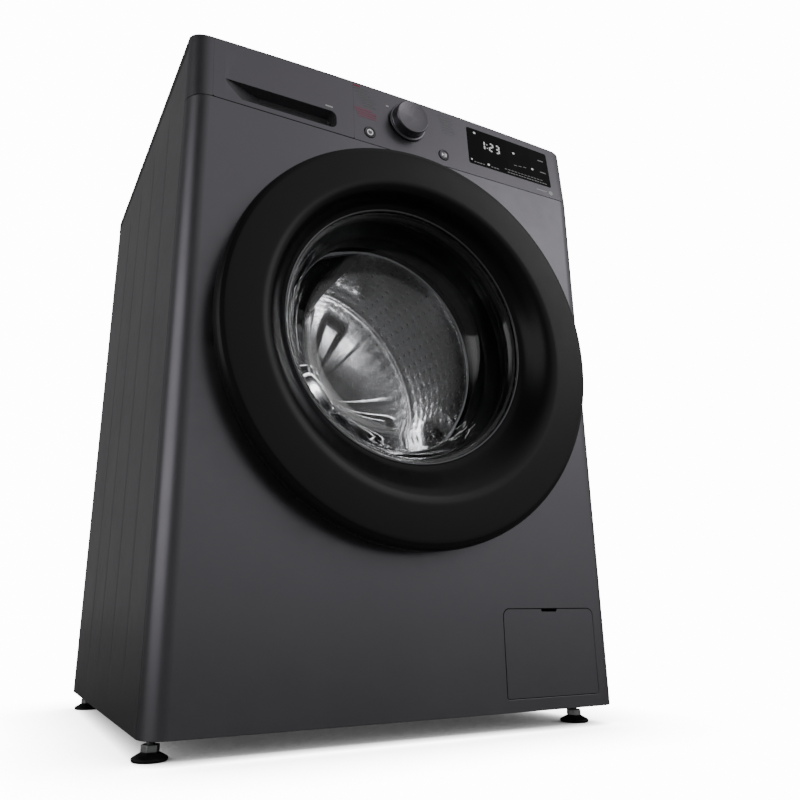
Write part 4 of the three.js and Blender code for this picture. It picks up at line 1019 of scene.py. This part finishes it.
def pushButton(node, icon):
    x, z = (sum(span(node, axis)) / 2 for axis in "xz")
    front, back = span(node, "y")
    r, disc = buttonSizes["radius"], buttonSizes["disc"]
    cap = turned(node + "Cap", [(0, front + 0.8), (disc, front + 0.8), (disc, front + 0.25), (r - 0.9, front),
                                (r, front + 0.6), (r, back - 1.2), (r + 1.6, back - 1.2), (r + 1.6, back), (0, back)],
                 "buttonRing", centre=(x, z), sides=72, closed=False, rounding=0.35)
    standsFor(cap, node)
    face = turned(node + "Disc", [(0, front + 0.45), (disc - 0.5, front + 0.45), (disc - 0.3, front + 0.75),
                                  (disc - 0.3, front + 1), (0, front + 1)], "fascia_paint", centre=(x, z), sides=64,
                  closed=False, rounding=0.2)
    rides(face, nodeBody[node], "fascia_paint")
    y0, y1 = front + 0.35, front + 0.7
    if icon == "ring":
        pieces = [turned("ringIcon", [(3.1, y0), (4.6, y0), (4.6, y1), (3.1, y1)], "digitLight", centre=(x, z),
                         sides=40, rounding=0.1),
                  prism("stemIcon", roundedBox(x - 0.6, x + 0.6, z + 1.6, z + 4.9, 0.4), y0 - 0.05, y1,
                        "digitLight")]
    else:
        pieces = [prism("playIcon", [(x - 3.9, z - 2.6), (x + 0.2, z), (x - 3.9, z + 2.6)], y0, y1, "digitLight")]
        for n in range(2):
            left = x + 0.9 + n * 1.9
            pieces.append(prism(f"pauseIcon{n}", roundedBox(left, left + 1.2, z - 2.6, z + 2.6, .3), y0, y1,
                                "digitLight"))
    rides(joined(node + "Icon", pieces, "digitLight"), nodeBody[node], "fascia_paint")


displayPanel()
printedMarks()
programKnob()
pushButton("power_button", "ring")
pushButton("start_button", "play")
softened("control_board", 0.3)
print("controls made")


# Door.

doorSizes = {"rim": 254, "reach": 38, "ringDepth": 17, "wall": 3, "glass": 173, "axisRise": 16}


def doorRing():
    s = doorSizes
    front = -s["reach"]
    back = front + s["ringDepth"]
    w, rise = s["wall"], s["axisRise"]
    low = doorHeight - drumHeight
    outer = [(doorRadius, back, low), (doorRadius, front + 11, low), (doorRadius - 0.9, front + 6.5, low),
             (doorRadius - 3.4, front + 2.6, low), (s["rim"] - 0.5, front + 0.3, low), (s["rim"] - 5, front, low)]
    funnel = [(216, front, 0.10), (209, front + 0.4, 0.14), (202, front + 2.6, 0.22), (196, front + 7.2, 0.33),
              (190.5, front + 14, 0.5), (185, front + 22, 0.72), (179, front + 29.4, 0.9), (173, front + 33.8, 1)]
    face = smoothLine([(r, y, low + rise * share) for r, y, share in funnel])
    inner = [(175.6, -1.9, 0), (186, front + 25, low + rise * 0.88), (197, front + 13, low + rise * 0.5),
             (206, front + 5.6, low + rise * 0.25), (216, front + w, low + rise * 0.12),
             (s["rim"] - 1, front + w, low), (doorRadius - w - 0.4, front + 10, low), (doorRadius - w, back, low)]
    ring = turned("doorRing", [*outer, *face, *inner], "satin_black", sides=192, rounding=0.5)
    standsFor(ring, "door_ring")


def doorFrame():
    softened("door_frame", 0.5, 2, angle=42)
    low = doorHeight - drumHeight
    bead = turned("doorBead", [(doorRadius - 0.4, -20.6, low), (doorRadius - 0.1, -19.6, low),
                               (doorRadius - 0.8, -18.8, low), (doorRadius - 2.5, -19.4, low)],
                  "satin_black", sides=192, rounding=0.2)
    z0, z1 = span("hinge_bracket", "z")
    room = prism("beadTool", roundedBox(-doorRadius - 9, 30 - doorRadius, z0 - 8, z1 + 8, 1), -60, 0, "satin_black")
    rides(cutBy(bead, room), "door", "satin_black")


def doorGlass():
    r = doorSizes["glass"]
    deep = span("door_glass", "y")[1]
    outside = smoothLine([(0, deep), (60, deep - 0.4), (98, deep - 1.6), (122, deep - 7), (141, deep - 22),
                          (152, deep - 40), (158.5, 22), (163.5, 9), (167, 4.2)])
    inside = smoothLine([(165, 0.2), (161, 6), (154, 22), (147.5, deep - 40), (136.5, deep - 24.4),
                         (118.5, deep - 10.4), (97, deep - 5.4), (60, deep - 4.4), (0, deep - 4)])
    glass = turned("doorGlass", [*outside, (r + 5.8, 4.2), (r + 5.8, -0.9), (168, -0.9), *inside], "clear_glass",
                   sides=160, closed=False, rounding=0.5, sharp=60)
    standsFor(glass, "door_glass")
    rim = turned("glassRim", [(172.9, -4.4), (171.2, -5), (169.6, -4.1), (169.2, -2), (170.6, -0.95), (173.2, -1.6)],
                 "glassTrim", sides=192, rounding=0.5)
    rides(rim, "door", "satin_black")


doorRing()
doorFrame()
doorGlass()
for node in ("door_hinge_plate", "hinge_pin", "hinge_bracket", "door_hook", "door_lock"):
    softened(node, 0.4)
print("door made")


# Gasket and drum.

gasketSizes = {"opening": 189, "lip": 163.5, "wall": 2.5}


def doorGasket():
    s = gasketSizes
    w, lip, t = s["opening"], s["lip"], s["wall"]
    outside = smoothLine([(w + 5, 1.5), (w + 5, 5), (w, 6), (w, 18), (w, 30), (w - 10, 37), (w, 44), (w, 50),
                          (lip + 6, 60), (lip, 68), (lip, 90)], 4)
    inside = smoothLine([(lip - t, 90), (lip - t, 66), (lip + 2, 58), (w - t - 2, 49), (w - t - 11.5, 38),
                         (w - t - 11.5, 36), (w - t, 28), (w - t, 18), (w - 20, 21.5), (w - 21.5, 20.5),
                         (w - 20.5, 19), (w - t, 13), (w - t, 1.5)], 4)
    gasket = turned("doorGasket", [*outside, *inside], "gasket_rubber", sides=128, rounding=0.3)
    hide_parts("door_gasket")
    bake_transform(gasket)


drumSizes = {"radius": 238, "mouth": 157, "sheet": 1.2, "hub": 54, "petals": 15, "petalHeight": 9.5, "rings": 44,
             "sectors": 300, "clearSector": 17, "around": 66, "along": 15, "hole": 2.3}


def petalHeight(radius, angle):
    # raised flutes round a flat hub, left out where the groups of holes are
    s = drumSizes
    share = (radius - s["hub"]) / (s["radius"] - 30 - s["hub"])
    if not 0 < share < 1:
        return 0
    window = min(share / 0.07, (1 - share) / 0.2, 1)
    window = window * window * (3 - 2 * window)
    ridge = min(max((math.cos(angle * s["petals"]) + 0.55) / 0.9, 0), 1)
    ridge = ridge * ridge * (3 - 2 * ridge) * (1 - 0.55 * share)
    fromHoles = abs((math.degrees(angle) - 60) % 120)
    fromHoles = min(fromHoles, 120 - fromHoles)
    clear = min(max((fromHoles - s["clearSector"]) / 6, 0), 1)
    return s["petalHeight"] * window * ridge * clear


def drumBack():
    s = drumSizes
    rear = span("drum_shell", "y")[1] - s["sheet"]
    shape = bmesh.new()
    layers = []
    for depth in (0, s["sheet"] * 0.8):
        rings = []
        for n in range(s["rings"] + 1):
            radius = 12 + (s["radius"] - s["sheet"] - 12) * n / s["rings"]
            rings.append([shape.verts.new(at(
                radius * math.sin(k / s["sectors"] * math.tau),
                rear + depth - petalHeight(radius, k / s["sectors"] * math.tau) - 0.2,
                drumHeight + radius * math.cos(k / s["sectors"] * math.tau))) for k in range(s["sectors"])])
        layers.append(rings)
    for rings in layers:
        stitched(shape, rings, ends=False)
    for n in (0, -1):
        for k in range(s["sectors"]):
            after = (k + 1) % s["sectors"]
            shape.faces.new((layers[0][n][k], layers[0][n][after], layers[1][n][after], layers[1][n][k]))
    rides(fromBmesh("drumBack", shape, "stainless", 60), "drum", "stainless")
    hub = turned("drumHub", [(0, rear - 5.5), (30, rear - 5.2), (41, rear - 4), (45, rear - 0.6), (0, rear - 0.6)],
                 "stainless", sides=96, rounding=2.5, closed=False)
    rides(hub, "drum", "stainless")


def perforatedCell(name, wide, tall, hole):
    # one square of sheet with a round hole, curved by its neighbours
    shape = bmesh.new()
    corners = [(wide / 2, 0), (wide / 2, tall / 2), (0, tall / 2), (-wide / 2, tall / 2), (-wide / 2, 0),
               (-wide / 2, -tall / 2), (0, -tall / 2), (wide / 2, -tall / 2)]
    rings = []
    for depth in (0, drumSizes["sheet"]):
        rings.append([shape.verts.new(Vector((a, b, depth)) * mm) for a, b in corners])
        rings.append([shape.verts.new(Vector((hole * math.cos(n * math.tau / 8), hole * math.sin(n * math.tau / 8),
                                              depth + 0.5)) * mm) for n in range(8)])
    for near, far in ((0, 1), (3, 2), (1, 3)):
        for n in range(8):
            after = (n + 1) % 8
            shape.faces.new((rings[near][n], rings[near][after], rings[far][after], rings[far][n]))
    mesh = bpy.data.meshes.new(name)
    shape.to_mesh(mesh)
    shape.free()
    return meshObject(name, mesh, "stainless")


def drumWall():
    s = drumSizes
    y0, y1 = span("drum_shell", "y")
    r, t = s["radius"], s["sheet"]
    around, along = s["around"], s["along"]
    first, last = y0 + 12, y1 - 12
    tall = (last - first) / along
    wide = 2 * (r - t) * math.tan(math.pi / around)
    cell = perforatedCell("drumCell", wide, tall, s["hole"])
    wall = repeated("drumWall", cell, "stainless", at(0, first + tall / 2, drumHeight), {
        "Columns": around, "Rows": along, "Angle step": math.tau / around, "Row step": tall * mm,
        "Radius": (r - t) * mm, "Stagger": 0.0,
    })
    shape = bmesh.new()
    shape.from_mesh(wall.data)
    bmesh.ops.remove_doubles(shape, verts=shape.verts, dist=4e-5)
    bmesh.ops.recalc_face_normals(shape, faces=shape.faces)
    shape.to_mesh(wall.data)
    shape.free()
    wall.data.shade_smooth()
    wall.data.set_sharp_from_angle(angle=math.radians(50))
    rides(wall, "drum", "stainless")
    m = s["mouth"]
    front = turned("drumFront", [
        (m, y0 + 8), (m - 1.8, y0 + 6), (m - 1.8, y0 + 1.5), (m + 1, y0), (r - 12, y0), (r - 3.5, y0 + 3),
        (r, y0 + 11), (r, y0 + 12.5), (r - t, y0 + 12.5), (r - t, y0 + 11), (r - 4.5, y0 + 4), (r - 12.5, y0 + t),
        (m + 2, y0 + t),
        (m, y0 + 2.6), (m, y0 + 6), (m + 1, y0 + 8)], "stainless", sides=132, rounding=0.8)
    standsFor(front, "drum_shell")
    band = turned("drumRearBand", [(r - t, y1 - 12.5), (r, y1 - 12.5), (r, y1), (r - t, y1)], "stainless", sides=132,
                  rounding=0.3)
    rides(band, "drum", "stainless")


def holeCluster():
    # groups of small holes between the petals
    rear = span("drum_shell", "y")[1] - drumSizes["sheet"]
    groups = []
    for n in range(3):
        for row, spots in enumerate((2, 3, 4, 3, 4, 3)):
            radius = 208 - row * 9
            for k in range(spots):
                angle = (n + 0.5) / 3 * math.tau + math.pi / 3 + (k - (spots - 1) / 2) * 9.5 / radius
                x, z = radius * math.sin(angle), drumHeight + radius * math.cos(angle)
                y = rear - petalHeight(radius, angle) - 0.2
                profile = [(0, y - 0.2), (2.1, y - 0.2), (2.9, y - 0.5), (3.3, y + 0.2), (0, y + 0.2)]
                groups.append(turned(f"hole{n}{row}{k}", profile, "stainless", centre=(x, z), sides=10, rounding=0,
                                     closed=False))
    rides(joined("drumHoleRims", groups, "stainless"), "drum", "stainless")


lifterSizes = {"half": 24, "tall": 46, "round": 3.0}


def lifter(node, turn):
    # paddle with rounded shoulders
    s = drumSizes
    r = (s["radius"] - s["sheet"]) * 0.9945 - 0.3
    y0, y1 = span("drum_shell", "y")
    y0, y1 = y0 + 26, y1 - 18
    half, tall = lifterSizes["half"], lifterSizes["tall"]
    flank = math.sqrt(r * r - half * half)
    outline = [(-half, flank), (-half * 0.78, flank - tall * 0.34), (-half * 0.55, flank - tall * 0.7),
               (-9, flank - tall * 0.95), (0, flank - tall), (9, flank - tall * 0.95),
               (half * 0.55, flank - tall * 0.7), (half * 0.78, flank - tall * 0.34), (half, flank)]
    lower = [(x * 0.93, flank - (flank - z) * 0.8) for x, z in outline]
    paddle = loft(node, [(y0, lower), (y0 + 10, outline), ((y0 + y1) / 2, outline), (y1, outline)], "lifterGrey")
    place = at(0, 0, drumHeight) - at(0, 0, 0)
    paddle.data.transform(Matrix.Translation(place) @ Matrix.Rotation(turn, 4, "Y"))
    paddle = bevelled(paddle, lifterSizes["round"], 4, 30)
    standsFor(paddle, node)


doorGasket()
drumWall()
drumBack()
holeCluster()
for n in range(3):
    lifter(f"drum_lifter_{n + 1}", n * math.tau / 3)
print("drum made")


# Inner pieces: the designed solids with their edges rounded.

for node in ("tub_front", "tub_rear", "counterweight_upper", "counterweight_lower", "drum_spider", "drum_shaft",
             "bearing_front", "bearing_rear", "stator", "rotor", "heater", "drain_pump", "pump_filter",
             "dispenser_housing", "detergent_drawer", "siphon_cap", "inlet_valve", "drain_outlet",
             "mains_gland", "damper_tube_left", "damper_tube_right", "damper_rod_left", "damper_rod_right"):
    softened(node, 0.5)


springSizes = {"radius": 7.6, "wire": 1.4, "turns": 26, "stepsPerTurn": 14, "wireSides": 8, "hook": 14}


def tubSpring(node):
    # wound spring that hangs the tub from its rail
    s = springSizes
    x, y = (sum(span(node, axis)) / 2 for axis in "xy")
    z0, z1 = span(node, "z")
    low, high = z0 + s["hook"], z1 - s["hook"]
    steps = s["turns"] * s["stepsPerTurn"]
    path = [Vector((x, y, z0 + 0.8 + n * 3)) for n in range(4)]
    for n in range(steps + 1):
        angle = n / s["stepsPerTurn"] * math.tau
        path.append(Vector((x + s["radius"] * math.cos(angle), y + s["radius"] * math.sin(angle),
                            low + (high - low) * n / steps)))
    path += [Vector((x, y, high + 2.5 + n * 3.4)) for n in range(4)]
    angles = [k / s["wireSides"] * math.tau for k in range(s["wireSides"])]
    shape = bmesh.new()
    rings = []
    for n, spot in enumerate(path):
        ahead = (path[min(n + 1, len(path) - 1)] - path[max(n - 1, 0)]).normalized()
        side = ahead.cross(Vector((0.3, 0.2, 1))).normalized()
        up = side.cross(ahead)
        rings.append([shape.verts.new(at(*(spot + (side * math.cos(a) + up * math.sin(a)) * s["wire"])))
                      for a in angles])
    stitched(shape, rings)
    spring = fromBmesh(node + "Coil", shape, "zinc_steel", 60)
    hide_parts(node)
    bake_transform(spring)


def ribbedHose(node):
    # the designed hose between tub and cabinet, copied as it is
    shape = bmesh.new()
    shape.from_mesh(frame["nodes"][node].data)
    hose = fromBmesh(node + "Tube", shape, "gasket_rubber", 50)
    low, high = (at(0, 0, value) for value in span(node, "z"))
    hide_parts(node)
    if node == "sump_hose":
        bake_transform(hose)
    else:
        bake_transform(hose)


for side in ("left", "right"):
    tubSpring(f"tub_spring_{side}")
ribbedHose("sump_hose")
ribbedHose("dispenser_hose")
print("inner pieces made")


# Floor, light and camera.

studio = {
    "floorSize": 12, "floorColor": (0.4, 0.4, 0.4), "paper": 14.0, "ambient": 0.014,
    "softLights": [  # direction, edge and full size as cosines, strength
        ((0.62, -0.6, 0.5), 0.35, 1.0, 0.5), ((-0.97, -0.2, 0.1), 0.78, 0.975, 1.05),
        ((-0.3, 0.95, 0.1), 0.2, 0.95, 0.17), ((-0.6, -0.6, -0.53), 0.1, 1.0, 0.16),
    ],
    "lens": 33.422, "shift": (0.03238, -0.01289), "eye": (-0.4524, -1.0460, 0.1397),
    "eyeRight": (0.8894509, -0.4569673, -0.0076189), "eyeUp": (-0.1246970, -0.2586835, 0.9578797),
}


def makeFloor():
    # pale sweep that stays white to the eye, with a painted contact shadow where the machine stands: ambient
    # occlusion darkens the glow that the eye sees
    shape = bmesh.new()
    bmesh.ops.create_grid(shape, x_segments=2, y_segments=2, size=studio["floorSize"])
    mesh = bpy.data.meshes.new("floor")
    shape.to_mesh(mesh)
    shape.free()
    material = finish("paleFloor", studio["floorColor"], 0.9, bump=0, tone=0.01, dust=0)
    tree = material.node_tree
    shader = tree.nodes["Principled BSDF"]
    seen = tree.nodes.new("ShaderNodeLightPath").outputs["Is Camera Ray"]
    # painted shadow: ambient occlusion darkens the floor's camera glow under and around the machine
    shade = tree.nodes.new("ShaderNodeAmbientOcclusion")
    shade.inputs["Distance"].default_value = 0.16
    clear = mathNode(tree, "POWER", shade.outputs["AO"], 1.6)
    white = tree.nodes.new("ShaderNodeCombineColor")
    for socket in white.inputs[:3]:
        tree.links.new(mathNode(tree, "MULTIPLY", seen, clear), socket)
    tree.links.new(white.outputs[0], shader.inputs["Emission Color"])
    shader.inputs["Emission Strength"].default_value = studio["paper"]
    mesh.materials.append(material)
    floor = bpy.data.objects.new("floor", mesh)
    bpy.context.scene.collection.objects.link(floor)


def areaLight(name, place, aim, size, power):
    light = bpy.data.lights.new(name, "AREA")
    light.shape = "RECTANGLE"
    light.size, light.size_y = size
    light.energy = power
    lamp = bpy.data.objects.new(name, light)
    lamp.location = place
    lamp.rotation_euler = (Vector(aim) - Vector(place)).to_track_quat("-Z", "Y").to_euler()
    bpy.context.scene.collection.objects.link(lamp)


def makeWorld():
    # soft lights as wide lobes of a dark room; the eye itself sees white paper
    world = bpy.data.worlds.new("studio")
    world.use_nodes = True
    tree = world.node_tree
    where = tree.nodes.new("ShaderNodeTexCoord").outputs["Generated"]
    total = studio["ambient"]
    for towards, edge, full, strength in studio["softLights"]:
        aim = tree.nodes.new("ShaderNodeVectorMath")
        aim.operation = "DOT_PRODUCT"
        aim.inputs[1].default_value = Vector(towards).normalized()
        tree.links.new(where, aim.inputs[0])
        lobe = rampNode(tree, aim.outputs["Value"], edge, full)
        total = mathNode(tree, "ADD", mathNode(tree, "MULTIPLY", lobe, strength), total)
    seen = tree.nodes.new("ShaderNodeLightPath").outputs["Is Camera Ray"]
    total = mathNode(tree, "ADD", mathNode(tree, "MULTIPLY", seen, studio["paper"]), total)
    tree.nodes["Background"].inputs["Color"].default_value = (1, 1, 1, 1)
    tree.links.new(total, tree.nodes["Background"].inputs["Strength"])
    bpy.context.scene.world = world


def makeCamera():
    data = bpy.data.cameras.new("camera")
    data.sensor_width = 36
    data.lens = studio["lens"]
    data.shift_x, data.shift_y = studio["shift"]
    camera = bpy.data.objects.new("camera", data)
    right, up = Vector(studio["eyeRight"]), Vector(studio["eyeUp"])
    back = right.cross(up)
    turn = Matrix((right, up, back)).transposed().to_4x4()
    camera.matrix_world = Matrix.Translation(Vector(studio["eye"])) @ turn
    bpy.context.scene.collection.objects.link(camera)
    bpy.context.scene.camera = camera


makeFloor()
makeWorld()
areaLight("keyLight", (2.4, -2.5, 2.2), (0, 0, 0.5), (1.6, 1.6), 10)
areaLight("drumLamp", (0.085, -0.14, 0.585), (-0.03, 0.145, 0.42), (0.05, 0.02), 0.16)
makeCamera()
print("studio set")
